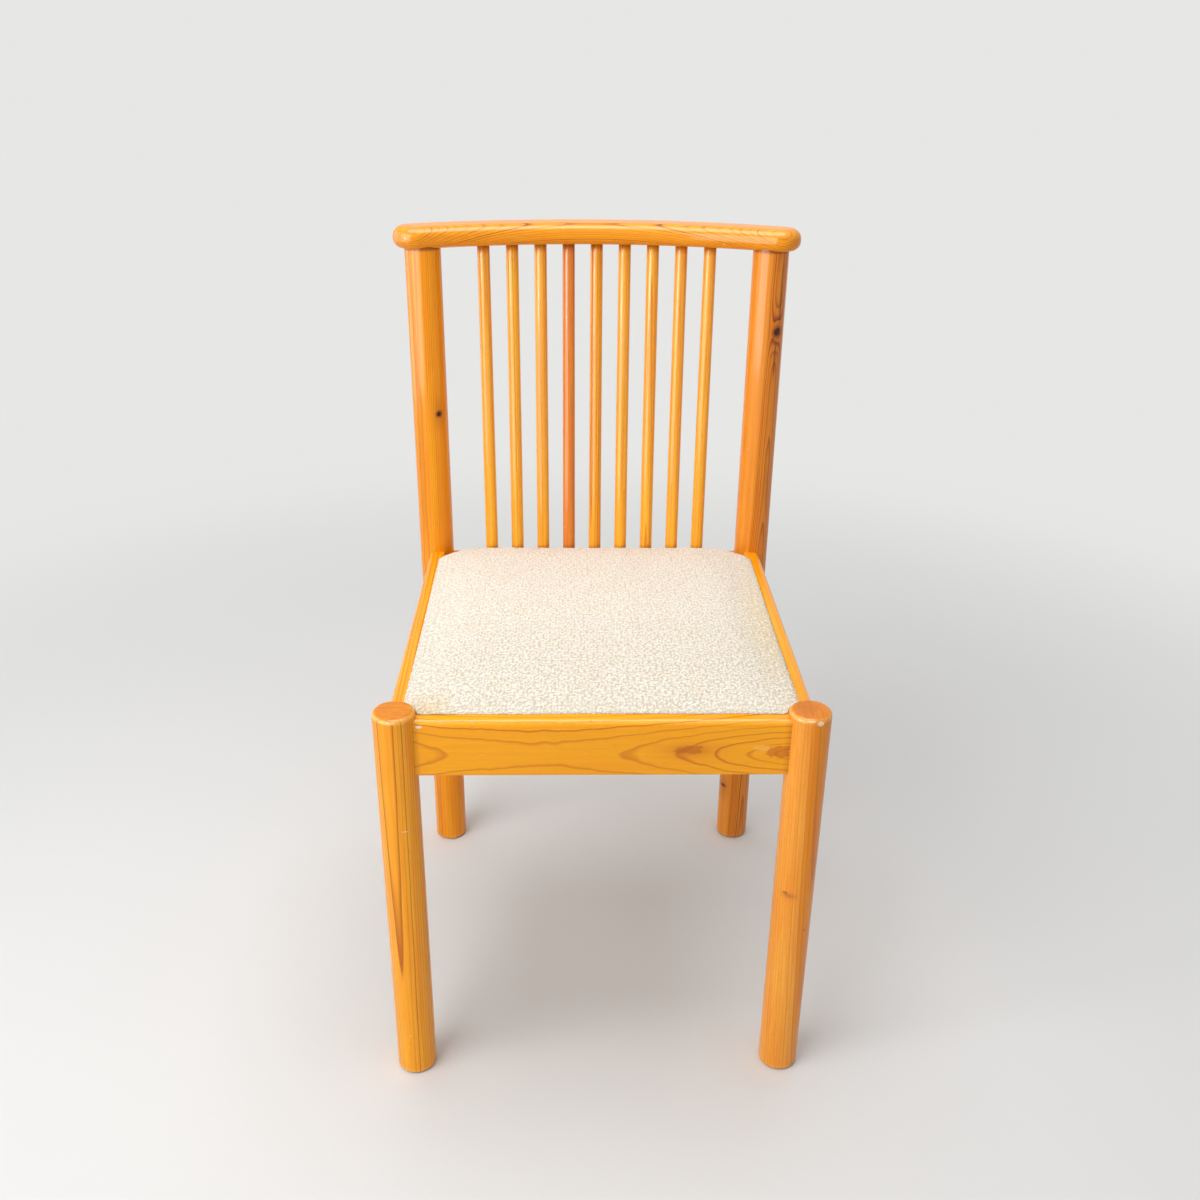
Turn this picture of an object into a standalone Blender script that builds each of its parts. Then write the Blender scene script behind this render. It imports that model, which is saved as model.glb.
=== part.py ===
"""Spindle-back dining chair with a padded drop-in seat.

Four round legs stand upright, and the two at the back run up to a bowed crest rail.
Four rails are tenoned into the legs, nine spindles fill the back, and the seat is a
plywood board under an upholstered pad, screwed to four corner blocks inside the rails.
Metres, X across, Y from front to back, Z up from the floor. The chair faces -Y.
"""
import math

import bmesh
import bpy
from mathutils import Matrix, Vector

# Fits: the gap left between pieces that touch on the real chair.
FIT_GAP = 0.0003
TENON_CHAMFER = 0.001

# Legs and posts
LEG_RADIUS = 0.0212
LEG_SPAN_X = 0.410          # between the axes, left to right
LEG_SPAN_Y = 0.4345         # between the axes, front to back
LEG_PROUD = 0.0075          # front leg top above the rails
FOOT_ROUND = 0.0025
RIM_ROUND = 0.003
LEG_STEPS = 32
LEG_ROUND_STEPS = 3

# Rails
RAIL_TOP = 0.4515
RAIL_HEIGHT = 0.0627
RAIL_THICKNESS = 0.019
BACK_RAIL_DROP = 0.008      # back rail's top below the others, hidden behind the pad
SIDE_RAIL_SETIN = 0.0019    # side rails' centre inside the leg axes
RAIL_OUTER_ROUND = 0.0065   # outer top edge
RAIL_EDGE_ROUND = 0.002     # the other three long edges
RAIL_OUTER_STEPS = 4
RAIL_EDGE_STEPS = 2
TENON_THICKNESS = 0.009
TENON_SHOULDER = 0.008      # rail height kept above and below the tenon
MORTISE_WALL = 0.003        # wood between a tenon's tip and the side of the next one

# Crest rail
CREST_BOTTOM = 0.8305
CREST_THICKNESS = 0.025
CREST_DEPTH = 0.050
CREST_LENGTH = 0.477
CREST_BOW = 0.042           # middle of the crest behind the post axes
CREST_ROUND = 0.008
CREST_ROUND_STEPS = 3
CREST_SHARP_ANGLE = 50      # degrees; edges sharper than this are rounded
CREST_ARC_STEPS = 20
CREST_END_STEPS = 10
POST_TENON_RADIUS = 0.013
POST_TENON_LENGTH = 0.014

# Spindles
SPINDLE_COUNT = 9
SPINDLE_PITCH = 0.0334      # in the back rail
SPINDLE_TOP_PITCH = 0.0339  # in the crest
SPINDLE_BOTTOM_RADIUS = 0.0078
SPINDLE_TOP_RADIUS = 0.0074
SPINDLE_TENON_RADIUS = 0.0053
SPINDLE_TENON_LENGTH = 0.014
SPINDLE_STEPS = 20

# Drop-in seat
SEAT_GAP = 0.0006           # between the pad's sides and the rails
SEAT_NOTCH_GAP = 0.0015     # between the pad and a front leg
SEAT_CORNER = 0.042         # round of the two back corners
SEAT_WRAP = 0.004           # cloth and wadding over the board's edge
BOARD_THICKNESS = 0.012
BOARD_DROP = 0.0095         # board top below the rail top
PAD_LIFT = 0.001            # pad's lower edge above the board's underside
PAD_LIP = 0.0035            # pad's overhang on the front and side rails
PAD_EDGE_WIDTH = 0.020      # rolled edge, in plan
PAD_EDGE_RISE = 0.0065      # rolled edge above the rail top
PAD_CROWN = 0.0040          # middle of the pad above its rolled edge
PAD_CROWN_SHARES = (0.8, 0.5, 0.2)
PAD_EDGE_STEPS = 4
PAD_LIP_STEP = 0.00003      # from the top of the straight side to the lip's first ring
PAD_CREASE_ANGLE = 40       # degrees
NOTCH_STEPS = 6
CORNER_STEPS = 8

# Corner blocks and screws
BLOCK_LEG = 0.060           # along each rail
BLOCK_END = 0.012
BLOCK_THICKNESS = 0.022
SCREW_FROM_CORNER = 0.044   # rail screw, along the rail from the inner corner
SCREW_SEAT = 0.016          # wood left under a rail screw's head
SCREW_RAIL_BITE = 0.014
SEAT_SCREW_INSET = 0.022    # seat screw from both rails
SEAT_SCREW_BITE = 0.009
SCREW_SHANK_RADIUS = 0.0019
SCREW_HEAD_RADIUS = 0.0038
SCREW_HEAD_HEIGHT = 0.0022
HEAD_TOP_SHARE = 0.7        # flat top of the head, as a share of its radius
HEAD_SIDE_SHARE = 0.45      # straight side of the head, as a share of its height
SCREW_POINT = 0.005
RECESS_WIDTH = 0.0009
RECESS_LENGTH = 0.0042
RECESS_DEPTH = 0.0012
SCREW_STEPS = 12

# Places that follow from the sizes above. The origin is under the middle of the box.
BACK_REACH = CREST_BOW + CREST_DEPTH / 2
CHAIR_DEPTH = LEG_RADIUS + LEG_SPAN_Y + BACK_REACH
LEG_X = LEG_SPAN_X / 2
FRONT_Y = LEG_RADIUS - CHAIR_DEPTH / 2
BACK_Y = FRONT_Y + LEG_SPAN_Y
RAIL_BOTTOM = RAIL_TOP - RAIL_HEIGHT
BACK_RAIL_TOP = RAIL_TOP - BACK_RAIL_DROP
RAIL_HALF = RAIL_THICKNESS / 2
SIDE_X = LEG_X - SIDE_RAIL_SETIN
INNER_X = SIDE_X - RAIL_HALF
INNER_FRONT = FRONT_Y + RAIL_HALF
INNER_BACK = BACK_Y - RAIL_HALF
TENON_TIP = TENON_THICKNESS / 2 + MORTISE_WALL
CREST_RADIUS = (LEG_X ** 2 + CREST_BOW ** 2) / (2 * CREST_BOW)
CREST_CENTRE_Y = BACK_Y + CREST_BOW - CREST_RADIUS
BOARD_TOP = RAIL_TOP - BOARD_DROP
BOARD_BOTTOM = BOARD_TOP - BOARD_THICKNESS
BLOCK_TOP = BOARD_BOTTOM - FIT_GAP
BLOCK_BOTTOM = BLOCK_TOP - BLOCK_THICKNESS
BLOCK_MIDDLE = (BLOCK_TOP + BLOCK_BOTTOM) / 2
PAST = 0.004                # how far a cutter runs past the surface it opens

PARTS_NAME = "spindle_back_dining_chair"
SIDES = (("left", -1), ("right", 1))


def clear_scene():
    for item in list(bpy.data.objects):
        bpy.data.objects.remove(item, do_unlink=True)
    for old in list(bpy.data.collections):
        bpy.data.collections.remove(old)


def add_collection(name):
    collection = bpy.data.collections.new(name)
    bpy.context.scene.collection.children.link(collection)
    return collection


def add_material(name, colour, roughness, metallic=0.0):
    material = bpy.data.materials.new(name)
    material.use_nodes = True
    shader = material.node_tree.nodes["Principled BSDF"]
    shader.inputs["Base Color"].default_value = (*colour, 1.0)
    shader.inputs["Roughness"].default_value = roughness
    shader.inputs["Metallic"].default_value = metallic
    return material


def add_object(name, mesh, material=None):
    """A part when it has a material, else a hidden cutter."""
    item = bpy.data.objects.new(name, mesh)
    if material is None:
        cutters.objects.link(item)
        item.hide_render = True
        item.display_type = "WIRE"
    else:
        parts.objects.link(item)
        mesh.materials.clear()
        mesh.materials.append(material)
    return item


def combine(item, tool, operation):
    modifier = item.modifiers.new(operation.lower() + "_" + tool.name, "BOOLEAN")
    modifier.operation = operation
    modifier.solver = "EXACT"
    modifier.object = tool


def cut(item, *tools):
    for tool in tools:
        combine(item, tool, "DIFFERENCE")


def box(name, low, high, material=None):
    """A box between two corners."""
    low, high = Vector(low), Vector(high)
    mesh = bpy.data.meshes.new(name)
    bm = bmesh.new()
    bmesh.ops.create_cube(bm, size=1.0)
    bmesh.ops.scale(bm, vec=high - low, verts=bm.verts)
    bmesh.ops.translate(bm, vec=(high + low) / 2, verts=bm.verts)
    bm.to_mesh(mesh)
    bm.free()
    return add_object(name, mesh, material)


def rod(name, start, end, radius, steps):
    """A round cutter between two points."""
    start, end = Vector(start), Vector(end)
    along = end - start
    mesh = bpy.data.meshes.new(name)
    bm = bmesh.new()
    bmesh.ops.create_cone(bm, cap_ends=True, segments=steps, radius1=radius, radius2=radius,
                          depth=along.length)
    bm.to_mesh(mesh)
    bm.free()
    item = add_object(name, mesh)
    item.matrix_world = Matrix.Translation((start + end) / 2) @ upright_to(along)
    return item


def upright_to(direction):
    """The turn that takes +Z to a direction."""
    return Vector((0, 0, 1)).rotation_difference(Vector(direction)).to_matrix().to_4x4()


def turned(name, profile, steps, material=None):
    """A solid of revolution about Z, from a profile of (radius, height), top to bottom."""
    mesh = bpy.data.meshes.new(name)
    points = [(radius, 0, height) for radius, height in profile]
    mesh.from_pydata(points, [(i, i + 1) for i in range(len(points) - 1)], [])
    item = add_object(name, mesh, material)
    screw = item.modifiers.new("turn", "SCREW")
    screw.steps = steps
    screw.render_steps = steps
    screw.use_merge_vertices = True
    screw.merge_threshold = 0.00001
    screw.use_smooth_shade = True
    return item


def plate(name, outline, bottom, top, material=None):
    """A flat outline given thickness, as one closed mesh."""
    curve = bpy.data.curves.new(name + "_outline", "CURVE")
    curve.dimensions = "2D"
    curve.fill_mode = "BOTH"
    curve.extrude = (top - bottom) / 2
    spline = curve.splines.new("POLY")
    spline.points.add(len(outline) - 1)
    for point, (x, y) in zip(spline.points, outline):
        point.co = (x, y, 0, 1)
    spline.use_cyclic_u = True
    guide = bpy.data.objects.new(name + "_outline", curve)
    cutters.objects.link(guide)
    bpy.context.view_layer.update()
    evaluated = guide.evaluated_get(bpy.context.evaluated_depsgraph_get())
    mesh = bpy.data.meshes.new_from_object(evaluated)
    mesh.name = name
    bpy.data.objects.remove(guide, do_unlink=True)
    bm = bmesh.new()
    bm.from_mesh(mesh)
    bmesh.ops.remove_doubles(bm, verts=bm.verts, dist=0.00001)
    bmesh.ops.dissolve_limit(bm, angle_limit=0.001, verts=bm.verts, edges=bm.edges)
    bmesh.ops.recalc_face_normals(bm, faces=bm.faces)
    bmesh.ops.translate(bm, vec=(0, 0, (top + bottom) / 2), verts=bm.verts)
    bm.to_mesh(mesh)
    bm.free()
    return add_object(name, mesh, material)


def arc(centre, radius, start, end, steps):
    """Points on a circle between two angles, ends included."""
    angles = [start + (end - start) * i / steps for i in range(steps + 1)]
    return [(centre[0] + radius * math.cos(a), centre[1] + radius * math.sin(a)) for a in angles]


def quarter(radius, height, amount, upper):
    """Profile points for a rounded rim, from the flat end to the side or back."""
    if upper:
        return arc((radius - amount, height - amount), amount, math.pi / 2, 0, LEG_ROUND_STEPS)
    return arc((radius - amount, height + amount), amount, 0, -math.pi / 2, LEG_ROUND_STEPS)


def crest_y(x):
    """The crest's centre line in plan: an arc through both post axes."""
    return CREST_CENTRE_Y + math.sqrt(CREST_RADIUS ** 2 - x ** 2)


def corners():
    """Each leg's name, its side, its end of the chair and its axis."""
    for side_name, side in SIDES:
        yield "front_leg_" + side_name, side, -1, side * LEG_X, FRONT_Y
        yield "back_post_" + side_name, side, 1, side * LEG_X, BACK_Y


def tenon_span(rail_top):
    """The lowest and highest level of the tenons on a rail."""
    return RAIL_BOTTOM + TENON_SHOULDER, rail_top - TENON_SHOULDER


def make_mortises(name, side, end, x, y):
    """The two slots that take the rail tenons, from the tip to past the leg's side."""
    reach = LEG_RADIUS + PAST
    near = TENON_TIP - FIT_GAP
    half = TENON_THICKNESS / 2 + FIT_GAP
    across = sorted((x - side * near, x - side * reach))
    along = sorted((y - end * near, y - end * reach))
    low, high = tenon_span(RAIL_TOP if end < 0 else BACK_RAIL_TOP)
    slot_x = box(name + "_slot_x", (across[0], y - half, low - FIT_GAP),
                 (across[1], y + half, high + FIT_GAP))
    low, high = tenon_span(RAIL_TOP)
    rail_x = side * SIDE_X
    slot_y = box(name + "_slot_y", (rail_x - half, along[0], low - FIT_GAP),
                 (rail_x + half, along[1], high + FIT_GAP))
    return slot_x, slot_y


def make_legs(wood):
    front_top = RAIL_TOP + LEG_PROUD
    shoulder = CREST_BOTTOM - FIT_GAP
    tenon_top = CREST_BOTTOM + POST_TENON_LENGTH
    foot = quarter(LEG_RADIUS, 0, FOOT_ROUND, False) + [(0, 0)]
    front = [(0, front_top)] + quarter(LEG_RADIUS, front_top, RIM_ROUND, True) + foot
    back = [(0, tenon_top),
            (POST_TENON_RADIUS - TENON_CHAMFER, tenon_top),
            (POST_TENON_RADIUS, tenon_top - TENON_CHAMFER),
            (POST_TENON_RADIUS, shoulder),
            (LEG_RADIUS, shoulder)] + foot
    for name, side, end, x, y in corners():
        leg = turned(name, front if end < 0 else back, LEG_STEPS, wood)
        leg.location = (x, y, 0)
        cut(leg, *make_mortises(name, side, end, x, y))


def rail_section(top):
    """Outline in (outward, level), with the outer top edge rounded most."""
    outer, inner = RAIL_HALF, -RAIL_HALF
    low = RAIL_BOTTOM
    big, small = RAIL_OUTER_ROUND, RAIL_EDGE_ROUND
    turn = math.pi / 2
    steps = RAIL_EDGE_STEPS
    return (arc((outer - big, top - big), big, 0, turn, RAIL_OUTER_STEPS)
            + arc((inner + small, top - small), small, turn, 2 * turn, steps)
            + arc((inner + small, low + small), small, 2 * turn, 3 * turn, steps)
            + arc((outer - small, low + small), small, 3 * turn, 4 * turn, steps))


def make_rail(name, outward, middle, axes, top, wood):
    """A rail about a middle in plan, coped to the legs on two axes, with a tenon at each end."""
    up = Vector((0, 0, 1))
    outward = Vector(outward)
    middle = Vector((*middle, 0))
    turn = Matrix((outward, up, outward.cross(up))).transposed().to_4x4()
    place = Matrix.Translation(middle) @ turn
    half_span = abs((Vector((*axes[0], 0)) - middle).dot(outward.cross(up)))
    rail = plate(name, rail_section(top), -half_span, half_span, wood)
    rail.matrix_world = place
    for index, (x, y) in enumerate(axes):
        cut(rail, rod("%s_cope_%d" % (name, index), (x, y, RAIL_BOTTOM - PAST), (x, y, top + PAST),
                      LEG_RADIUS + FIT_GAP, LEG_STEPS))
    half_length = half_span - TENON_TIP
    low, high = tenon_span(top)
    tenon = box(name + "_tenon", (-TENON_THICKNESS / 2, low, -half_length),
                (TENON_THICKNESS / 2, high, half_length))
    tenon.matrix_world = place
    combine(rail, tenon, "UNION")
    return rail


def make_rails(wood):
    rails = {}
    for name, end, y, top in (("front_rail", -1, FRONT_Y, RAIL_TOP),
                              ("back_rail", 1, BACK_Y, BACK_RAIL_TOP)):
        axes = [(side * LEG_X, y) for _, side in SIDES]
        rails[name] = make_rail(name, (0, end, 0), (0, y), axes, top, wood)
    for side_name, side in SIDES:
        name = "side_rail_" + side_name
        middle = (side * SIDE_X, (FRONT_Y + BACK_Y) / 2)
        axes = [(side * LEG_X, y) for y in (FRONT_Y, BACK_Y)]
        rails[name] = make_rail(name, (side, 0, 0), middle, axes, RAIL_TOP, wood)
    return rails


def crest_outline():
    """Two arcs about the bow's centre, closed by a round end on each side."""
    centre = (0, CREST_CENTRE_Y)
    half_depth = CREST_DEPTH / 2
    swing = math.asin((CREST_LENGTH / 2 - half_depth) / CREST_RADIUS)
    right, left = math.pi / 2 - swing, math.pi / 2 + swing
    left_end, right_end = (arc(centre, CREST_RADIUS, angle, angle, 1)[0] for angle in (left, right))
    return (arc(centre, CREST_RADIUS + half_depth, right, left, CREST_ARC_STEPS)
            + arc(left_end, half_depth, left, left + math.pi, CREST_END_STEPS)[1:-1]
            + arc(centre, CREST_RADIUS - half_depth, left, right, CREST_ARC_STEPS)
            + arc(right_end, half_depth, right - math.pi, right, CREST_END_STEPS)[1:-1])


def make_crest(wood):
    crest = plate("crest_rail", crest_outline(), CREST_BOTTOM, CREST_BOTTOM + CREST_THICKNESS, wood)
    bevel = crest.modifiers.new("round_edges", "BEVEL")
    bevel.width = CREST_ROUND
    bevel.segments = CREST_ROUND_STEPS
    bevel.limit_method = "ANGLE"
    bevel.angle_limit = math.radians(CREST_SHARP_ANGLE)
    for side_name, side in SIDES:
        socket = rod("crest_socket_" + side_name, (side * LEG_X, BACK_Y, CREST_BOTTOM - PAST),
                     (side * LEG_X, BACK_Y, CREST_BOTTOM + POST_TENON_LENGTH + FIT_GAP),
                     POST_TENON_RADIUS + FIT_GAP, LEG_STEPS)
        cut(crest, socket)
    return crest


def make_spindles(wood, back_rail, crest):
    """Tapered spindles that fan back from the straight rail to the bowed crest."""
    reach = LEG_SPAN_X
    depth = CHAIR_DEPTH
    floor = box("spindle_floor", (-reach, -depth, RAIL_BOTTOM), (reach, depth, BACK_RAIL_TOP + FIT_GAP))
    ceiling = box("spindle_ceiling", (-reach, -depth, CREST_BOTTOM - FIT_GAP),
                  (reach, depth, CREST_BOTTOM + CREST_THICKNESS))
    for i in range(SPINDLE_COUNT):
        name = "spindle_%d" % (i + 1)
        place_in_row = i - (SPINDLE_COUNT - 1) / 2
        x = place_in_row * SPINDLE_TOP_PITCH
        foot = Vector((place_in_row * SPINDLE_PITCH, BACK_Y, BACK_RAIL_TOP))
        head = Vector((x, crest_y(x), CREST_BOTTOM))
        along = (head - foot).normalized()
        length = (head - foot).length
        place = Matrix.Translation(foot) @ upright_to(along)
        body = turned(name, [(0, length + PAST), (SPINDLE_TOP_RADIUS, length + PAST),
                             (SPINDLE_BOTTOM_RADIUS, -PAST), (0, -PAST)], SPINDLE_STEPS, wood)
        body.matrix_world = place
        cut(body, floor, ceiling)
        low, high = -SPINDLE_TENON_LENGTH, length + SPINDLE_TENON_LENGTH
        slim = SPINDLE_TENON_RADIUS - TENON_CHAMFER
        pin = turned(name + "_pin", [(0, high), (slim, high),
                                     (SPINDLE_TENON_RADIUS, high - TENON_CHAMFER),
                                     (SPINDLE_TENON_RADIUS, low + TENON_CHAMFER),
                                     (slim, low), (0, low)], SPINDLE_STEPS)
        pin.matrix_world = place
        combine(body, pin, "UNION")
        hole = SPINDLE_TENON_RADIUS + FIT_GAP
        deep = SPINDLE_TENON_LENGTH + FIT_GAP
        cut(back_rail, rod(name + "_lower_hole", foot - along * deep, foot + along * PAST, hole,
                           SPINDLE_STEPS))
        cut(crest, rod(name + "_upper_hole", head - along * PAST, head + along * deep, hole,
                       SPINDLE_STEPS))


def seat_outline(inset):
    """The drop-in seat in plan, notched round the front legs, this far inside the rails."""
    half_width = INNER_X - inset
    front = INNER_FRONT + inset
    notch = LEG_RADIUS + SEAT_NOTCH_GAP + max(inset, 0)
    start = math.pi - math.asin((front - FRONT_Y) / notch)
    end = math.pi / 2 + math.asin((LEG_X - half_width) / notch)
    inset = max(inset, SEAT_GAP)
    corner = SEAT_CORNER - inset
    back = INNER_BACK - inset
    half = arc((LEG_X, FRONT_Y), notch, start, end, NOTCH_STEPS)
    half += arc((half_width - corner, back - corner), corner, 0, math.pi / 2, CORNER_STEPS)
    return half + [(-x, y) for x, y in reversed(half)]


def pad_rings():
    """Sections of the crowned pad: straight sides, a lip on the rails, a rolled edge, a dome."""
    ledge = RAIL_TOP + FIT_GAP
    yield seat_outline(SEAT_GAP), BOARD_BOTTOM + PAD_LIFT
    yield seat_outline(SEAT_GAP), ledge
    for step in range(PAD_EDGE_STEPS + 1):
        angle = step * math.pi / 2 / PAD_EDGE_STEPS
        inset = PAD_EDGE_WIDTH * (1 - math.cos(angle)) - PAD_LIP
        yield seat_outline(inset), ledge + PAD_LIP_STEP + PAD_EDGE_RISE * math.sin(angle)
    middle = (FRONT_Y + BACK_Y) / 2
    for share in PAD_CROWN_SHARES:
        outline = seat_outline(PAD_EDGE_WIDTH - PAD_LIP)
        ring = [(x * share, middle + (y - middle) * share) for x, y in outline]
        yield ring, ledge + PAD_EDGE_RISE + PAD_CROWN * (1 - share ** 2)


def loft(name, rings, material):
    """A closed solid through flat rings with the same number of points, from the lowest up."""
    mesh = bpy.data.meshes.new(name)
    bm = bmesh.new()
    loops = [[bm.verts.new((x, y, z)) for x, y in outline] for outline, z in rings]
    for lower, upper in zip(loops, loops[1:]):
        for i in range(len(lower)):
            j = (i + 1) % len(lower)
            bm.faces.new((lower[i], lower[j], upper[j], upper[i]))
    bm.faces.new(loops[0][::-1])
    bm.faces.new(loops[-1])
    bmesh.ops.recalc_face_normals(bm, faces=bm.faces)
    bm.to_mesh(mesh)
    bm.free()
    return add_object(name, mesh, material)


def make_seat(plywood, cloth):
    bare = SEAT_GAP + SEAT_WRAP
    board = plate("seat_board", seat_outline(bare), BOARD_BOTTOM, BOARD_TOP, plywood)
    pad = loft("seat_cushion", pad_rings(), cloth)
    pocket = plate("seat_pocket", seat_outline(bare - FIT_GAP), BOARD_BOTTOM - PAST,
                   BOARD_TOP + FIT_GAP)
    cut(pad, pocket)
    pad.data.shade_smooth()
    pad.data.set_sharp_from_angle(angle=math.radians(PAD_CREASE_ANGLE))
    return board


def make_screw_mesh(name, length, steel):
    """A pan-head wood screw with a cross recess, its head's underside at the origin."""
    head = turned(name + "_blank", [(0, SCREW_HEAD_HEIGHT),
                                    (SCREW_HEAD_RADIUS * HEAD_TOP_SHARE, SCREW_HEAD_HEIGHT),
                                    (SCREW_HEAD_RADIUS, SCREW_HEAD_HEIGHT * HEAD_SIDE_SHARE),
                                    (SCREW_HEAD_RADIUS, 0),
                                    (SCREW_SHANK_RADIUS, 0),
                                    (SCREW_SHANK_RADIUS, SCREW_POINT - length),
                                    (0, -length)], SCREW_STEPS)
    low, high = SCREW_HEAD_HEIGHT - RECESS_DEPTH, SCREW_HEAD_HEIGHT + PAST
    for index, (x, y) in enumerate(((RECESS_LENGTH, RECESS_WIDTH), (RECESS_WIDTH, RECESS_LENGTH))):
        cut(head, box("%s_slot_%d" % (name, index), (-x / 2, -y / 2, low), (x / 2, y / 2, high)))
    bpy.context.view_layer.update()
    mesh = bpy.data.meshes.new_from_object(head.evaluated_get(bpy.context.evaluated_depsgraph_get()))
    mesh.name = name
    mesh.materials.clear()
    mesh.materials.append(steel)
    bpy.data.objects.remove(head, do_unlink=True)
    return mesh


def add_screw(name, mesh, seat, drive, length, through):
    """Set a screw with its head on a seat, and drill each piece that it passes through."""
    seat, drive = Vector(seat), Vector(drive)
    screw = bpy.data.objects.new(name, mesh)
    parts.objects.link(screw)
    screw.matrix_world = Matrix.Translation(seat - drive * FIT_GAP) @ upright_to(-drive)
    hole = rod(name + "_hole", seat - drive * PAST, seat + drive * (length + FIT_GAP),
               SCREW_SHANK_RADIUS + FIT_GAP, SCREW_STEPS)
    for piece in through:
        cut(piece, hole)


def make_block(name, side, end, wood):
    """A corner block between two rails, cleared round the leg that stands in the corner."""
    def place(u, v):
        """From distances along the two rails, from their inner corner, to the plan."""
        return (side * (INNER_X - u), (INNER_FRONT if end < 0 else INNER_BACK) - end * v)

    near = FIT_GAP
    outline = [place(u, v) for u, v in ((near, near), (BLOCK_LEG, near), (BLOCK_LEG, BLOCK_END),
                                        (BLOCK_END, BLOCK_LEG), (near, BLOCK_LEG))]
    block = plate(name, outline, BLOCK_BOTTOM, BLOCK_TOP, wood)
    leg_x, leg_y = side * LEG_X, FRONT_Y if end < 0 else BACK_Y
    cut(block, rod(name + "_leg", (leg_x, leg_y, BLOCK_BOTTOM - PAST), (leg_x, leg_y, BLOCK_TOP + PAST),
                   LEG_RADIUS + FIT_GAP, LEG_STEPS))
    return block, place


def make_blocks(wood, steel, rails, board):
    rail_length = SCREW_SEAT + SCREW_RAIL_BITE
    seat_length = BLOCK_THICKNESS + FIT_GAP + SEAT_SCREW_BITE
    rail_mesh = make_screw_mesh("block_screw", rail_length, steel)
    seat_mesh = make_screw_mesh("seat_screw", seat_length, steel)
    bore = SCREW_HEAD_RADIUS + 2 * FIT_GAP
    for end_name, end in (("front", -1), ("back", 1)):
        for side_name, side in SIDES:
            corner = end_name + "_" + side_name
            block, place = make_block("corner_block_" + corner, side, end, wood)
            for index, rail, swap in ((1, rails[end_name + "_rail"], False),
                                      (2, rails["side_rail_" + side_name], True)):
                spots = [(SCREW_FROM_CORNER, v) for v in (SCREW_SEAT, BLOCK_LEG)]
                if swap:
                    spots = [(v, u) for u, v in spots]
                seat, mouth = (Vector((*place(*spot), BLOCK_MIDDLE)) for spot in spots)
                drive = (seat - mouth).normalized()
                name = "block_screw_%s_%d" % (corner, index)
                cut(block, rod(name + "_bore", mouth, seat, bore, 2 * SCREW_STEPS))
                add_screw(name, rail_mesh, seat, drive, rail_length, (block, rail))
            x, y = place(SEAT_SCREW_INSET, SEAT_SCREW_INSET)
            add_screw("seat_screw_" + corner, seat_mesh, (x, y, BLOCK_BOTTOM), (0, 0, 1), seat_length,
                      (block, board))


def build():
    pine = add_material("varnished_pine", (0.78, 0.36, 0.07), 0.28)
    post_pine = add_material("varnished_pine_post", (0.74, 0.31, 0.06), 0.28)
    plywood = add_material("seat_plywood", (0.62, 0.44, 0.25), 0.6)
    block_pine = add_material("raw_pine", (0.70, 0.50, 0.28), 0.65)
    cloth = add_material("cream_boucle", (0.88, 0.82, 0.70), 0.95)
    steel = add_material("zinc_screw", (0.62, 0.60, 0.55), 0.35, 1.0)
    make_legs(post_pine)
    rails = make_rails(pine)
    crest = make_crest(pine)
    make_spindles(pine, rails["back_rail"], crest)
    board = make_seat(plywood, cloth)
    make_blocks(block_pine, steel, rails, board)


clear_scene()
parts = add_collection(PARTS_NAME)
cutters = add_collection("cutters")
build()
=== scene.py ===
# Looks of the spindle-back dining chair: varnished pine, a cream boucle drop-in seat, a plain studio
import math

import bmesh
import bpy
import numpy as np
from mathutils import Matrix, Vector


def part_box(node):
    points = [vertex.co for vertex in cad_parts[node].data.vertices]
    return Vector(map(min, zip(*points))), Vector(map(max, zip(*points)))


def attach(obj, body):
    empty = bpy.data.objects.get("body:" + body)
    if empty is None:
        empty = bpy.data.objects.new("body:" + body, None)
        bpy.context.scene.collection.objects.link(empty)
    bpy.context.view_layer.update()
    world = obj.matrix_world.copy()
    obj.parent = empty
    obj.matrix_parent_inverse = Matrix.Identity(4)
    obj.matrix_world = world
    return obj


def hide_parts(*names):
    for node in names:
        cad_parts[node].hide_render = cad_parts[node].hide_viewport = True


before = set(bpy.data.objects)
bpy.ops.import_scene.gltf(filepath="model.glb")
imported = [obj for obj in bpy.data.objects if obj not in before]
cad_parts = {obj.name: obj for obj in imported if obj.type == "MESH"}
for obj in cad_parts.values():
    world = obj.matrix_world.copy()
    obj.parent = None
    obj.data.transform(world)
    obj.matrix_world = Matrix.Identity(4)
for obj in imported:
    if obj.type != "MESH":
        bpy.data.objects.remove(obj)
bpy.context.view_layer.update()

print("frame loaded:", len(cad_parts), "nodes")


# Small helpers for meshes

def linear(red, green, blue):
    # an sRGB colour of 0 to 255 as the linear colour that a node takes
    shares = np.array((red, green, blue)) / 255
    values = np.where(shares <= 0.04045, shares / 12.92, ((shares + 0.055) / 1.055) ** 2.4)
    return (*values.tolist(), 1.0)


def smoothStep(low, high, value):
    share = np.clip((value - low) / (high - low), 0, 1)
    return share * share * (3 - 2 * share)


def meshPoints(mesh, field="co"):
    # the mesh's vertices, or another vector kept for each of them, as rows of three
    flat = np.empty(len(mesh.vertices) * 3)
    mesh.vertices.foreach_get(field, flat)
    return flat.reshape(-1, 3)


endDepth = 0.0002        # of what counts as the end of a long node


def nodeAxis(name):
    # The middles of a long node's two ends, and its points, each once: the ends are the points
    # within endDepth of the furthest ones along the direction of greatest spread.
    points = np.unique(meshPoints(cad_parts[name].data).round(7), axis=0)
    middle = points.mean(axis=0)
    along = np.linalg.svd(points - middle, full_matrices=False)[2][0]
    reach = (points - middle) @ along
    low, high = reach.min() + endDepth, reach.max() - endDepth
    return (points[reach < low].mean(axis=0), points[reach > high].mean(axis=0)), points


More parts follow.
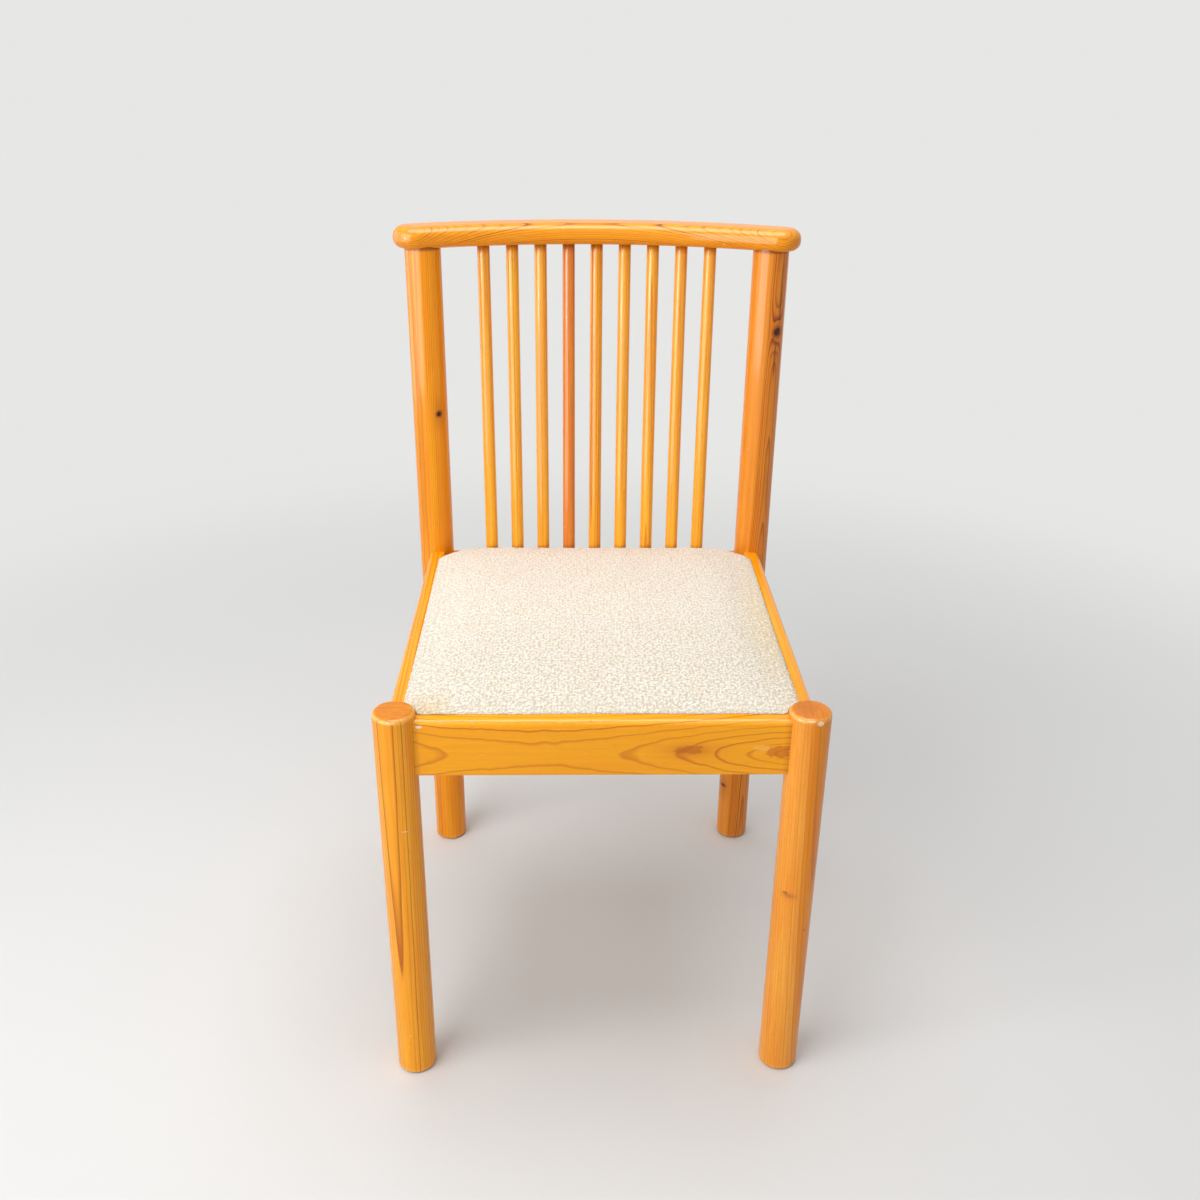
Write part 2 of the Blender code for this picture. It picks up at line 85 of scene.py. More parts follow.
def paint(mesh, name, values):
    # one number for each vertex and channel, kept as a colour attribute
    layer = mesh.attributes.new(name, "FLOAT_COLOR", "POINT")
    rgba = np.ones((len(mesh.vertices), 4), dtype=np.float32)
    rgba[:, :values.shape[1]] = values
    layer.data.foreach_set("color", rgba.ravel())


def addPiece(name, mesh, material, replaced=()):
    piece = bpy.data.objects.new(name, mesh)
    bpy.context.scene.collection.objects.link(piece)
    mesh.materials.clear()
    mesh.materials.append(material)
    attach(piece, "root")
    if replaced:
        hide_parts(*replaced)
    return piece


def closedSkin(name, rings, zones=None, ends="fan"):
    # A skin over closed sections: rings[i, j] is point j of section i, and j runs round the
    # section. The end sections are closed by a fan to their middle, joined to each other, or
    # already drawn together to a line ("drawn").
    count, around = rings.shape[:2]
    rows = np.arange(count if ends == "joined" else count - 1)[:, None]
    here = np.arange(around)[None, :]
    there = (here + 1) % around
    this, following = rows * around, (rows + 1) % count * around
    quads = np.stack((this + here, this + there, following + there, following + here), axis=-1)
    faces = quads.reshape(-1, 4).tolist()
    points = rings.reshape(-1, 3)
    flat = None if zones is None else zones.reshape(-1, zones.shape[-1])
    if ends == "fan":
        first, last, top = count * around, count * around + 1, (count - 1) * around
        faces += np.stack((np.full(around, first), there[0], here[0]), axis=-1).tolist()
        faces += np.stack((np.full(around, last), top + here[0], top + there[0]), axis=-1).tolist()
        points = np.vstack((points, rings[0].mean(axis=0), rings[-1].mean(axis=0)))
        if flat is not None:
            flat = np.vstack((flat, zones[0].mean(axis=0), zones[-1].mean(axis=0)))
    mesh = bpy.data.meshes.new(name)
    mesh.from_pydata(points.tolist(), [], faces)
    if flat is not None:
        paint(mesh, "zones", flat)
    work = bmesh.new()
    work.from_mesh(mesh)
    bmesh.ops.remove_doubles(work, verts=work.verts, dist=1e-6)
    bmesh.ops.recalc_face_normals(work, faces=work.faces)
    work.to_mesh(mesh)
    work.free()
    mesh.shade_smooth()
    return mesh


def roundedRectangle(low, high, rounds, step):
    # Outline of a rectangle, counterclockwise from its upper right corner: flat sides with a
    # point every step, joined by quarter rounds of their own size.
    corners = ((high[0], high[1]), (low[0], high[1]), (low[0], low[1]), (high[0], low[1]))
    arcs = []
    for index, (corner, size) in enumerate(zip(corners, rounds)):
        turn = (index + np.linspace(0, 1, 9 if size > 0.004 else 5)) * math.pi / 2
        inward = (-size if index in (0, 3) else size, -size if index < 2 else size)
        arcs.append(np.add(corner, inward) + size * np.stack((np.cos(turn), np.sin(turn)), axis=-1))
    outline = []
    for this, following in zip(arcs, arcs[1:] + arcs[:1]):
        gap = following[0] - this[-1]
        pieces = max(int(np.hypot(*gap) / step), 1)
        outline += [this, this[-1] + gap * (np.arange(1, pieces) / pieces)[:, None]]
    return np.vstack(outline)


def press(points, dents):
    # Each dent pushes the points near its middle along its own direction, by its depth times
    # exp(-(distance / radius) ** 2).
    for dent in dents:
        near = np.linalg.norm(points - np.array(dent["at"]), axis=-1, keepdims=True)
        push = np.array(dent["towards"], dtype=float)
        push /= np.linalg.norm(push)
        points = points + push * dent["depth"] * np.exp(-(near / dent["radius"]) ** 2)
    return points


# Small helpers for shader nodes

def feed(tree, node, inputs):
    # each of the node's inputs takes another node's output or a plain value
    for key, value in inputs.items():
        if isinstance(value, bpy.types.NodeSocket):
            tree.links.new(value, node.inputs[key])
        else:
            node.inputs[key].default_value = value
    return node


def put(tree, kind, inputs=None, **settings):
    node = tree.nodes.new("ShaderNode" + kind)
    for key, value in settings.items():
        setattr(node, key, value)
    return feed(tree, node, inputs or {})


def calc(tree, operation, *values, clamp=False):
    node = put(tree, "Math", dict(enumerate(values)), operation=operation, use_clamp=clamp)
    return node.outputs[0]


def times(tree, value, factor):
    return calc(tree, "MULTIPLY", value, factor)


def timesPlus(tree, value, factor, added, clamp=False):
    return calc(tree, "MULTIPLY_ADD", value, factor, added, clamp=clamp)


def vectorCalc(tree, operation, *values):
    node = put(tree, "VectorMath", dict(enumerate(values)), operation=operation)
    return node.outputs["Value" if operation == "LENGTH" else "Vector"]


def axesOf(tree, vector):
    return put(tree, "SeparateXYZ", {0: vector}).outputs


def ramp(tree, value, low, high, start=0.0, end=1.0):
    # a smooth step from start to end as the value goes from low to high
    node = put(tree, "MapRange", {"Value": value, "From Min": low, "From Max": high,
                                  "To Min": start, "To Max": end}, interpolation_type="SMOOTHSTEP")
    return node.outputs["Result"]


def noiseAt(tree, vector, scale, detail):
    return put(tree, "TexNoise", {"Vector": vector, "Scale": scale, "Detail": detail}).outputs["Fac"]


def stretchedNoise(tree, vector, stretch, detail):
    return noiseAt(tree, vectorCalc(tree, "MULTIPLY", vector, stretch), 1.0, detail)


def cellDistance(tree, vector, scale):
    cells = put(tree, "TexVoronoi", {"Vector": vector, "Scale": scale, "Randomness": 1.0})
    return cells.outputs["Distance"]


def blendColour(tree, factor, first, second, mode="MIX"):
    node = put(tree, "Mix", data_type="RGBA", blend_type=mode)
    return feed(tree, node, {0: factor, 6: first, 7: second}).outputs[2]


def layOver(tree, colour, tone, mask, share, mode="MIX"):
    # the tone over the colour where the mask is, at this share
    return blendColour(tree, times(tree, mask, share), colour, tone, mode)


def bumpOf(tree, height, strength, distance):
    return put(tree, "Bump", {"Strength": strength, "Distance": distance, "Height": height}).outputs["Normal"]


def newMaterial(name):
    material = bpy.data.materials.new(name)
    material.use_nodes = True
    return material, material.node_tree, material.node_tree.nodes["Principled BSDF"]


def newGroup(name, inputs, outputs):
    tree = bpy.data.node_groups.new(name, "ShaderNodeTree")
    for label, kind, start in inputs:
        socket = tree.interface.new_socket(name=label, in_out="INPUT", socket_type="NodeSocket" + kind)
        if start is not None:
            socket.default_value = start
    for label, kind in outputs:
        tree.interface.new_socket(name=label, in_out="OUTPUT", socket_type="NodeSocket" + kind)
    return tree, tree.nodes.new("NodeGroupInput").outputs, tree.nodes.new("NodeGroupOutput").inputs


def useGroup(tree, group, inputs):
    node = put(tree, "Group")
    node.node_tree = group
    return feed(tree, node, inputs).outputs


# Shared effects

def makeRingGroup():
    # Growth rings round a pith that runs along Z: the distance from the pith, bowed and
    # wandering, divided by the ring width. Each ring goes slowly from pale early wood to dark
    # late wood, and back at once.
    tree, given, out = newGroup("growthRings", (
        ("Vector", "Vector", None), ("Push", "Float", 0.0), ("Ring Width", "Float", 0.003),
        ("Bow", "Vector", None), ("Wander", "Float", 0.002), ("Drift", "Float", 1.0),
        ("Heart", "Float", 0.0), ("Late Start", "Float", 0.45), ("Flow", "Vector", None),
        ("Faintest", "Float", 0.35)),
        (("Late", "Float"), ("Heartwood", "Float")))
    vector = given["Vector"]
    split, bow = axesOf(tree, vector), axesOf(tree, given["Bow"])
    slow = vectorCalc(tree, "MULTIPLY", vector, given["Flow"])
    cloud = put(tree, "TexNoise", {"Vector": slow, "Scale": 1.0, "Detail": 2.0, "Roughness": 0.45})
    cloud = axesOf(tree, cloud.outputs["Color"])
    square = times(tree, split[2], split[2])
    squares = []
    for axis in (0, 1):
        swayed = timesPlus(tree, bow[axis], square, split[axis])
        shift = times(tree, calc(tree, "SUBTRACT", cloud[axis], 0.5), given["Wander"])
        side = timesPlus(tree, shift, 4.0, swayed)
        squares.append(times(tree, side, side))
    radius = calc(tree, "SQRT", calc(tree, "ADD", *squares))
    radius = calc(tree, "ADD", radius, given["Push"])
    uneven = put(tree, "TexNoise", {"W": times(tree, radius, 110.0), "Scale": 1.0, "Detail": 1.0},
                 noise_dimensions="1D").outputs["Fac"]
    count = calc(tree, "DIVIDE", radius, given["Ring Width"])
    count = timesPlus(tree, calc(tree, "SUBTRACT", uneven, 0.5), given["Drift"], count)
    part = calc(tree, "FRACT", count)
    dark = calc(tree, "POWER", ramp(tree, part, given["Late Start"], 0.94), 1.5)
    late = times(tree, dark, ramp(tree, part, 0.945, 1.0, 1.0, 0.0))
    bold = put(tree, "TexWhiteNoise", {"W": calc(tree, "FLOOR", count)}, noise_dimensions="1D")
    bold = calc(tree, "MAXIMUM", calc(tree, "POWER", bold.outputs["Value"], 0.8), given["Faintest"])
    tree.links.new(times(tree, late, bold), out["Late"])
    edge = calc(tree, "SUBTRACT", given["Heart"], radius)
    tree.links.new(ramp(tree, edge, -0.0012, 0.0012), out["Heartwood"])
    return tree


def makeFibreGroup():
    # Fine streaks along the grain, the short resin ducts of pine, and a broad cloudy tone
    tree, given, out = newGroup("pineFibre", (("Vector", "Vector", None),),
                                (("Fibre", "Float"), ("Duct", "Float"), ("Cloud", "Float")))
    vector = given["Vector"]
    fine = times(tree, stretchedNoise(tree, vector, (1300, 1300, 16), 2.0), 0.45)
    broad = times(tree, stretchedNoise(tree, vector, (330, 330, 5), 2.0), 0.55)
    tree.links.new(calc(tree, "ADD", fine, broad), out["Fibre"])
    tree.links.new(ramp(tree, stretchedNoise(tree, vector, (1500, 1500, 120), 0.0), 0.70, 0.80), out["Duct"])
    tree.links.new(stretchedNoise(tree, vector, (30, 30, 5), 3.0), out["Cloud"])
    return tree


def makeSpotGroup():
    # One mark at a place: how near its middle a point is, in half sizes of the mark, with a
    # ragged edge. Glow fades smoothly, Mask has an edge.
    tree, given, out = newGroup("spot", (
        ("Vector", "Vector", None), ("Place", "Vector", None), ("Size", "Vector", (0.01, 0.01, 0.01)),
        ("Ragged", "Float", 0.3)), (("Mask", "Float"), ("Glow", "Float")))
    away = vectorCalc(tree, "SUBTRACT", given["Vector"], given["Place"])
    away = vectorCalc(tree, "DIVIDE", away, given["Size"])
    uneven = calc(tree, "SUBTRACT", noiseAt(tree, away, 2.2, 3.0), 0.5)
    distance = vectorCalc(tree, "LENGTH", away)
    rough = timesPlus(tree, uneven, given["Ragged"], distance)
    tree.links.new(ramp(tree, rough, 0.72, 1.0, 1.0, 0.0), out["Mask"])
    fall = times(tree, times(tree, distance, distance), -1.0)
    tree.links.new(calc(tree, "EXPONENT", fall), out["Glow"])
    return tree


ringGroup = makeRingGroup()
fibreGroup = makeFibreGroup()
spotGroup = makeSpotGroup()


def spotAt(tree, place, at, size, ragged=0.3):
    return useGroup(tree, spotGroup, {"Vector": place, "Place": at, "Size": size, "Ragged": ragged})


# Varnished pine. Every piece is cut from its own log: pith is a point on the log's middle line,
# turn is the way that line runs, and the marks are read off the photograph.

pineTones = {
    "early": linear(252, 172, 12),
    "late": linear(190, 92, 4),
    "heart": linear(228, 126, 4),
    "fibre": linear(240, 152, 30),
    "duct": linear(150, 72, 8),
    "endGrain": linear(216, 132, 24),
    "sawn": linear(196, 108, 20),
    # pale tone for the edges: partly a painted highlight, partly the edge worn pale
    "rim": linear(255, 222, 140),
    "knot": linear(58, 14, 3),
    "knotHalo": linear(150, 56, 4),
    "chip": linear(250, 226, 190),
    # dark brown multiplied in where parts meet and at the feet: painted shade with some dust
    "shadeAndGrime": linear(110, 52, 14),
}

alongX = (0.0, math.pi / 2, 0.0)
logDefaults = {
    "bow": (0.0, 0.0, 0.0),      # bend of the pith, in metres for each square metre along it
    "wander": 0.002,
    "drift": 1.0,                # how unevenly the rings are spaced
    "lateStart": 0.45,           # share of a ring where its late wood starts
    "lateTone": 0.8,
    "sapTone": 1.0,              # how much of its late wood's tone the sapwood shows
    "faintest": 0.35,            # of the rings, some of which are bolder
    "heart": 0.0,                # radius of the heartwood
    "heartTone": 0.0,
    "flow": (14, 14, 3.4),
    "cloud": 0.35,
    "streak": 0.30,
    "endStreak": (45, 420, 45),
}
varnish = {"coat": 0.5, "coatRoughness": 0.10, "roughness": 0.32, "specular": 0.06, "bump": 0.35}
bareWood = {"coat": 0.0, "roughness": 0.62, "specular": 0.2, "bump": 0.6}
wearAndPaintedLight = {
    # share of the pale edge tone: a painted highlight along every edge, partly worn pale
    "rimHighlightAndWear": 0.18,
    "rimRubbed": 0.25,
    # share of that painted shade with some dust
    "shadeAndGrime": 0.75,
    "dings": 24.0,               # how many to a metre
    "dingEdge": (0.018, 0.034),
    "dingPale": 0.35,
    "reliefDepth": 0.0003,
}
knotShares = {"halo": 0.30, "ring": 0.60, "core": 0.95}


def varnishedPine(name, log, tones=None, knots=(), marks=(), finish=varnish):
    log = dict(logDefaults, **log)
    colours = dict(pineTones, **(tones or {}))
    wearAndLight = wearAndPaintedLight
    material, tree, shader = newMaterial(name)
    place = put(tree, "TexCoord").outputs["Object"]
    grain = put(tree, "Mapping", {"Vector": place, "Location": log["pith"], "Rotation": log["turn"]},
                vector_type="TEXTURE").outputs[0]
    push, knotMasks = 0.0, []
    for knot in knots:
        size = Vector(knot["size"])
        core = spotAt(tree, place, knot["at"], size, knot.get("ragged", 0.5))["Mask"]
        ring = spotAt(tree, place, knot["at"], size * 1.7, 0.8)["Mask"]
        halo = spotAt(tree, place, knot["at"], knot["flow"])["Glow"]
        push = timesPlus(tree, halo, knot["push"], push)
        knotMasks += [("halo", halo, "knotHalo"), ("ring", ring, "knotHalo"), ("core", core, "knot")]
    rings = useGroup(tree, ringGroup, {
        "Vector": grain, "Push": push, "Ring Width": log["ringWidth"], "Bow": log["bow"],
        "Wander": log["wander"], "Drift": log["drift"], "Heart": log["heart"],
        "Late Start": log["lateStart"], "Flow": log["flow"], "Faintest": log["faintest"]})
    fibre = useGroup(tree, fibreGroup, {"Vector": grain})
    rim, end, joint = axesOf(tree, put(tree, "Attribute", attribute_name="zones").outputs["Color"])

    # the wood: heart and sap, soft clouds, end grain with its saw marks, rings, ducts and knots
    colour = layOver(tree, colours["early"], colours["heart"], rings["Heartwood"], log["heartTone"])
    colour = layOver(tree, colour, colours["fibre"], ramp(tree, fibre["Cloud"], 0.35, 0.7), log["cloud"])
    colour = layOver(tree, colour, colours["endGrain"], end, 0.75)
    streak = ramp(tree, fibre["Fibre"], 0.40, 0.62, 1.0, 0.0)
    colour = layOver(tree, colour, colours["fibre"], streak, log["streak"], "MULTIPLY")
    sawn = ramp(tree, stretchedNoise(tree, place, log["endStreak"], 3.0), 0.46, 0.66)
    colour = layOver(tree, colour, colours["sawn"], sawn, times(tree, end, 0.6))
    lateShare = timesPlus(tree, rings["Heartwood"], (1 - log["sapTone"]) * log["lateTone"],
                          log["sapTone"] * log["lateTone"])
    lateShare = timesPlus(tree, end, -0.35, lateShare, clamp=True)
    colour = layOver(tree, colour, colours["late"], rings["Late"], lateShare)
    colour = layOver(tree, colour, colours["duct"], fibre["Duct"], 0.18)
    for zone, mask, tone in knotMasks:
        colour = layOver(tree, colour, colours[tone], mask, knotShares[zone])
    bare = 0.0
    for mark in marks:
        spot = spotAt(tree, place, mark["at"], mark["size"], mark.get("ragged", 0.6))
        share = times(tree, spot["Mask" if mark.get("edge", True) else "Glow"], mark["strength"])
        colour = blendColour(tree, share, colour, mark["colour"])
        if mark.get("bare", False):
            bare = calc(tree, "MAXIMUM", share, bare)

    # rubbed arrises, a pale line along every edge that is partly a painted highlight and partly the edge worn
    # pale, painted shade with some dust where parts meet and at the feet, and a few pin-sized dings
    # everywhere
    rubbed = times(tree, rim, ramp(tree, noiseAt(tree, place, 160.0, 3.0), 0.55, 0.72))
    ding = ramp(tree, cellDistance(tree, place, wearAndLight["dings"]), *wearAndLight["dingEdge"], 1.0, 0.0)
    # painted highlight along the edges, partly the edge worn pale
    colour = layOver(tree, colour, colours["rim"], rim, wearAndLight["rimHighlightAndWear"])
    colour = layOver(tree, colour, colours["chip"], rubbed, wearAndLight["rimRubbed"])
    # painted shade with some dust where parts meet and at the feet
    colour = layOver(tree, colour, colours["shadeAndGrime"], joint, wearAndLight["shadeAndGrime"], "MULTIPLY")
    colour = layOver(tree, colour, colours["chip"], ding, wearAndLight["dingPale"])

    # the varnish: an uneven film, dull where it is worn or gone
    worn = calc(tree, "MAXIMUM", bare, times(tree, rubbed, 0.4))
    film = noiseAt(tree, place, 55.0, 3.0)
    gloss = timesPlus(tree, film, 0.10, finish["roughness"])
    gloss = timesPlus(tree, worn, 0.3, gloss)
    height = timesPlus(tree, rings["Late"], 0.35, times(tree, fibre["Fibre"], 0.4))
    for relief, share in ((film, 0.6), (ding, -1.2), (bare, -1.0)):
        height = timesPlus(tree, relief, share, height)
    feed(tree, shader, {"Base Color": colour, "Roughness": gloss, "Specular IOR Level": finish["specular"],
                        "Normal": bumpOf(tree, height, finish["bump"], wearAndLight["reliefDepth"])})
    if finish["coat"] > 0:
        feed(tree, shader, {"Coat Weight": timesPlus(tree, worn, -0.7, finish["coat"], clamp=True),
                            "Coat Roughness": finish["coatRoughness"], "Coat IOR": 1.5})
    return material


# Round legs and posts

legLook = {
    "around": 96,
    "footRound": 0.0042,
    "rimRound": 0.0045,
    "roundSteps": 8,
    "rowHeight": 0.008,
    "rimDetail": 0.012,      # fine rows over this height below a rim
    "intoCrest": 0.004,
}

legLogs = {
    "front_leg_left": {
        "log": {"pith": (-0.228, -0.312, 0.30), "turn": (-0.010, 0.003, 0.0), "ringWidth": 0.0031,
                "wander": 0.0010, "drift": 0.7, "lateTone": 1.0, "lateStart": 0.52},
        "tones": {"early": linear(252, 174, 32), "late": linear(176, 84, 2)},
        "marks": [
            {"at": (-0.1992, -0.2605, 0.3295), "size": (0.0032, 0.002, 0.0009), "strength": 0.5,
             "colour": linear(255, 226, 170)},
            {"at": (-0.1962, -0.2600, 0.3290), "size": (0.0022, 0.002, 0.0007), "strength": 0.5,
             "colour": linear(255, 226, 170)},
            {"at": (-0.2085, -0.2608, 0.4567), "size": (0.0030, 0.0016, 0.0012), "strength": 0.75,
             "colour": linear(238, 205, 176), "bare": True},
            {"at": (-0.2030, -0.2612, 0.4560), "size": (0.0024, 0.0014, 0.0012), "strength": 0.6,
             "colour": linear(238, 205, 176), "bare": True},
        ],
        "dents": [{"at": (-0.2085, -0.2608, 0.4572), "towards": (0.1, 1, -1), "radius": 0.0026,
                   "depth": 0.0006}],
    },
    "front_leg_right": {
        "log": {"pith": (0.262, -0.292, 0.20), "turn": (0.010, -0.036, 0.0), "ringWidth": 0.0034,
                "wander": 0.0008, "drift": 0.8, "lateTone": 0.55, "heart": 0.0600, "heartTone": 0.9,
                "endStreak": (300, 60, 45)},
        "tones": {"early": linear(248, 170, 60), "heart": linear(240, 146, 2),
                  "endGrain": linear(214, 132, 24)},
        "marks": [
            {"at": (0.1960, -0.2592, 0.2455), "size": (0.0075, 0.006, 0.0034), "strength": 0.6,
             "colour": linear(176, 92, 44), "edge": False},
            {"at": (0.1926, -0.2574, 0.2480), "size": (0.0034, 0.004, 0.0020), "strength": 0.5,
             "colour": linear(132, 62, 24), "ragged": 1.2},
            {"at": (0.2166, -0.2579, 0.1986), "size": (0.0018, 0.003, 0.0018), "strength": 0.6,
             "colour": linear(186, 96, 24)},
            {"at": (0.1990, -0.2370, 0.4590), "size": (0.0130, 0.0170, 0.0050), "strength": 0.65,
             "colour": linear(190, 100, 12), "edge": False},
            {"at": (0.2010, -0.2612, 0.4570), "size": (0.0060, 0.0022, 0.0011), "strength": 0.8,
             "colour": linear(246, 214, 186), "bare": True, "ragged": 0.9},
            {"at": (0.2115, -0.2600, 0.4545), "size": (0.0044, 0.0022, 0.0030), "strength": 0.85,
             "colour": linear(252, 224, 196), "bare": True, "ragged": 1.0},
        ],
        "dents": [{"at": (0.2115, -0.2602, 0.4560), "towards": (-0.2, 1, -0.6), "radius": 0.0028,
                   "depth": 0.0007}],
    },
    "back_post_left": {
        "log": {"pith": (-0.252, 0.126, 0.45), "turn": (0.006, 0.010, 0.0), "ringWidth": 0.0019,
                "wander": 0.0009, "drift": 0.9, "lateTone": 0.75},
        "tones": {"early": linear(248, 162, 10)},
        "knots": [{"at": (-0.1929, 0.1769, 0.6339), "size": (0.0033, 0.0042, 0.0036),
                   "flow": (0.007, 0.010, 0.022), "push": 0.0026}],
        "marks": [],
        "dents": [],
    },
    "back_post_right": {
        "log": {"pith": (0.2325, 0.1470, 0.55), "turn": (0.010, 0.004, 0.0), "ringWidth": 0.0015,
                "wander": 0.0010, "drift": 0.9, "lateTone": 1.0, "heart": 0.0410, "heartTone": 0.6,
                "sapTone": 0.25, "flow": (14, 14, 7), "lateStart": 0.30, "faintest": 0.5},
        "knots": [
            {"at": (0.2158, 0.1761, 0.7372), "size": (0.0050, 0.0060, 0.0056),
             "flow": (0.008, 0.010, 0.030), "push": 0.0042, "ragged": 1.2},
            {"at": (0.1880, 0.1830, 0.0865), "size": (0.0070, 0.0035, 0.0022),
             "flow": (0.009, 0.010, 0.018), "push": 0.0030, "ragged": 1.1},
        ],
        "marks": [
            {"at": (0.2054, 0.1733, 0.527), "size": (0.0030, 0.0050, 0.046), "strength": 0.35,
             "colour": linear(206, 104, 20), "edge": False},
            {"at": (0.2178, 0.1770, 0.7820), "size": (0.0014, 0.0050, 0.0420), "strength": 0.6,
             "colour": linear(112, 38, 4), "ragged": 0.8},
            {"at": (0.2150, 0.1760, 0.7040), "size": (0.0015, 0.0050, 0.0260), "strength": 0.55,
             "colour": linear(112, 38, 4), "ragged": 0.8},
        ],
        "dents": [],
        "tones": {"early": linear(244, 160, 52), "late": linear(128, 44, 2), "heart": linear(224, 128, 6)},
    },
}


def turnedLeg(name, low, high, look, dents, rounded):
    # A turned leg: the profile (radius, height) goes up from the middle of the foot, round its
    # edge, up the side and, where the top is free, round the rim to the middle of the top.
    radius = (high.x - low.x) / 2
    axis = np.array(((high.x + low.x) / 2, (high.y + low.y) / 2))
    top = high.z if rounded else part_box("crest_rail")[0].z + look["intoCrest"]
    turn = np.linspace(0, math.pi / 2, look["roundSteps"] + 1)
    foot, rim = look["footRound"], look["rimRound"] if rounded else 0.0
    profile = [(radius - foot) * np.array((0.5, 0.97)), radius - foot + foot * np.sin(turn)]
    levels = [np.zeros(2), foot - foot * np.cos(turn)]
    fine = top - look["rimDetail"]
    side = np.concatenate((np.arange(2 * foot, fine, look["rowHeight"]), np.linspace(fine, top - rim, 12)))
    profile.append(np.full(len(side), radius))
    levels.append(side)
    if rounded:
        profile += [radius - rim + rim * np.cos(turn[1:]), (radius - rim) * np.array((0.97, 0.8, 0.5))]
        levels += [top - rim + rim * np.sin(turn[1:]), np.full(3, top)]
    profile, levels = np.concatenate(profile), np.concatenate(levels)
    angle = np.linspace(0, 2 * math.pi, look["around"], endpoint=False)
    across = axis[0] + profile[:, None] * np.cos(angle)
    depth = axis[1] + profile[:, None] * np.sin(angle)
    rings = press(np.stack(np.broadcast_arrays(across, depth, levels[:, None]), axis=-1), dents)
    atTop = smoothStep(top - rim - 0.001, top - rim, levels) * rounded
    # edge zone at the top rim and the foot's edge: drawn pale there as a painted highlight that is partly
    # worn pale, and rubbed
    onRim = smoothStep(radius - 0.0034, radius - 0.0012, profile) * atTop
    onRim = np.maximum(onRim, smoothStep(2 * foot, 0.3 * foot, levels) * 0.7)
    ends = smoothStep(radius - 0.0012, radius - 0.0032, profile)
    # darker over the foot's lowest 4 mm, painted shade where it stands on the floor; a post is also darker
    # just under the crest, a painted shadow
    shadeAndGrime = smoothStep(0.004, 0.0, levels) * 0.8
    if not rounded:
        shadeAndGrime = np.maximum(shadeAndGrime, smoothStep(top - 0.0075, top - 0.0035, levels))
    zones = np.stack((onRim, ends, shadeAndGrime), axis=-1)[:, None]
    return closedSkin(name, rings, np.broadcast_to(zones, rings.shape))


for nodeName, plan in legLogs.items():
    isFront = nodeName.startswith("front")
    mesh = turnedLeg(nodeName + "_turned", *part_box(nodeName), legLook, plan["dents"], isFront)
    wood = varnishedPine(nodeName + "_pine", plan["log"], plan.get("tones"), plan.get("knots", ()),
                         plan["marks"])
    addPiece(nodeName + "_turned", mesh, wood, (nodeName,))
print("legs and posts turned")


# Rails

railLook = {
    "thickness": 0.019,
    "rounds": (0.0065, 0.002, 0.002, 0.002),    # the outer top edge first
    "rowLength": 0.006,
    "faceStep": 0.006,
}


def railSkin(name, nodeName, outward, dents=()):
    # A rail: one section carried straight along the rail, from one leg's middle to the other's
    low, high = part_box(nodeName)
    look = railLook
    alongAxis = 0 if abs(outward[1]) > 0 else 1
    middle = (np.array(low) + np.array(high)) / 2
    half = look["thickness"] / 2
    section = roundedRectangle((-half, low.z), (half, high.z), look["rounds"], look["faceStep"])
    start, end = low[alongAxis], high[alongAxis]
    rows = np.linspace(start, end, int((end - start) / look["rowLength"]) + 1)
    rings = np.zeros((len(rows), len(section), 3))
    across = 1 - alongAxis
    rings[..., alongAxis] = rows[:, None]
    rings[..., across] = middle[across] + section[None, :, 0] * outward[across]
    rings[..., 2] = section[None, :, 1]
    rings = press(rings, dents)
    out = section[:, 0]
    level = section[:, 1]
    # edge zone along the outer top and bottom edges: drawn pale there as a painted highlight that is partly
    # worn pale, and rubbed
    nearSide = smoothStep(half - 0.0035, half - 0.001, out)
    nearTop = smoothStep(high.z - 0.0045, high.z - 0.001, level)
    edge = np.maximum(nearSide * nearTop, nearSide * smoothStep(low.z + 0.0015, low.z, level))
    # front and back rails: a dark joint line at their ends, where they meet the legs
    shadeAndGrime = np.zeros(len(rows))
    if alongAxis == 0:       # front and back, which end at the legs' sides
        shadeAndGrime = smoothStep(0.0014, 0.0, np.minimum(rows - (start + 0.0125), (end - 0.0125) - rows)) * 0.4
    zones = np.stack(np.broadcast_arrays(edge, 0.0, shadeAndGrime[:, None]), axis=-1)
    return closedSkin(name, rings, zones)


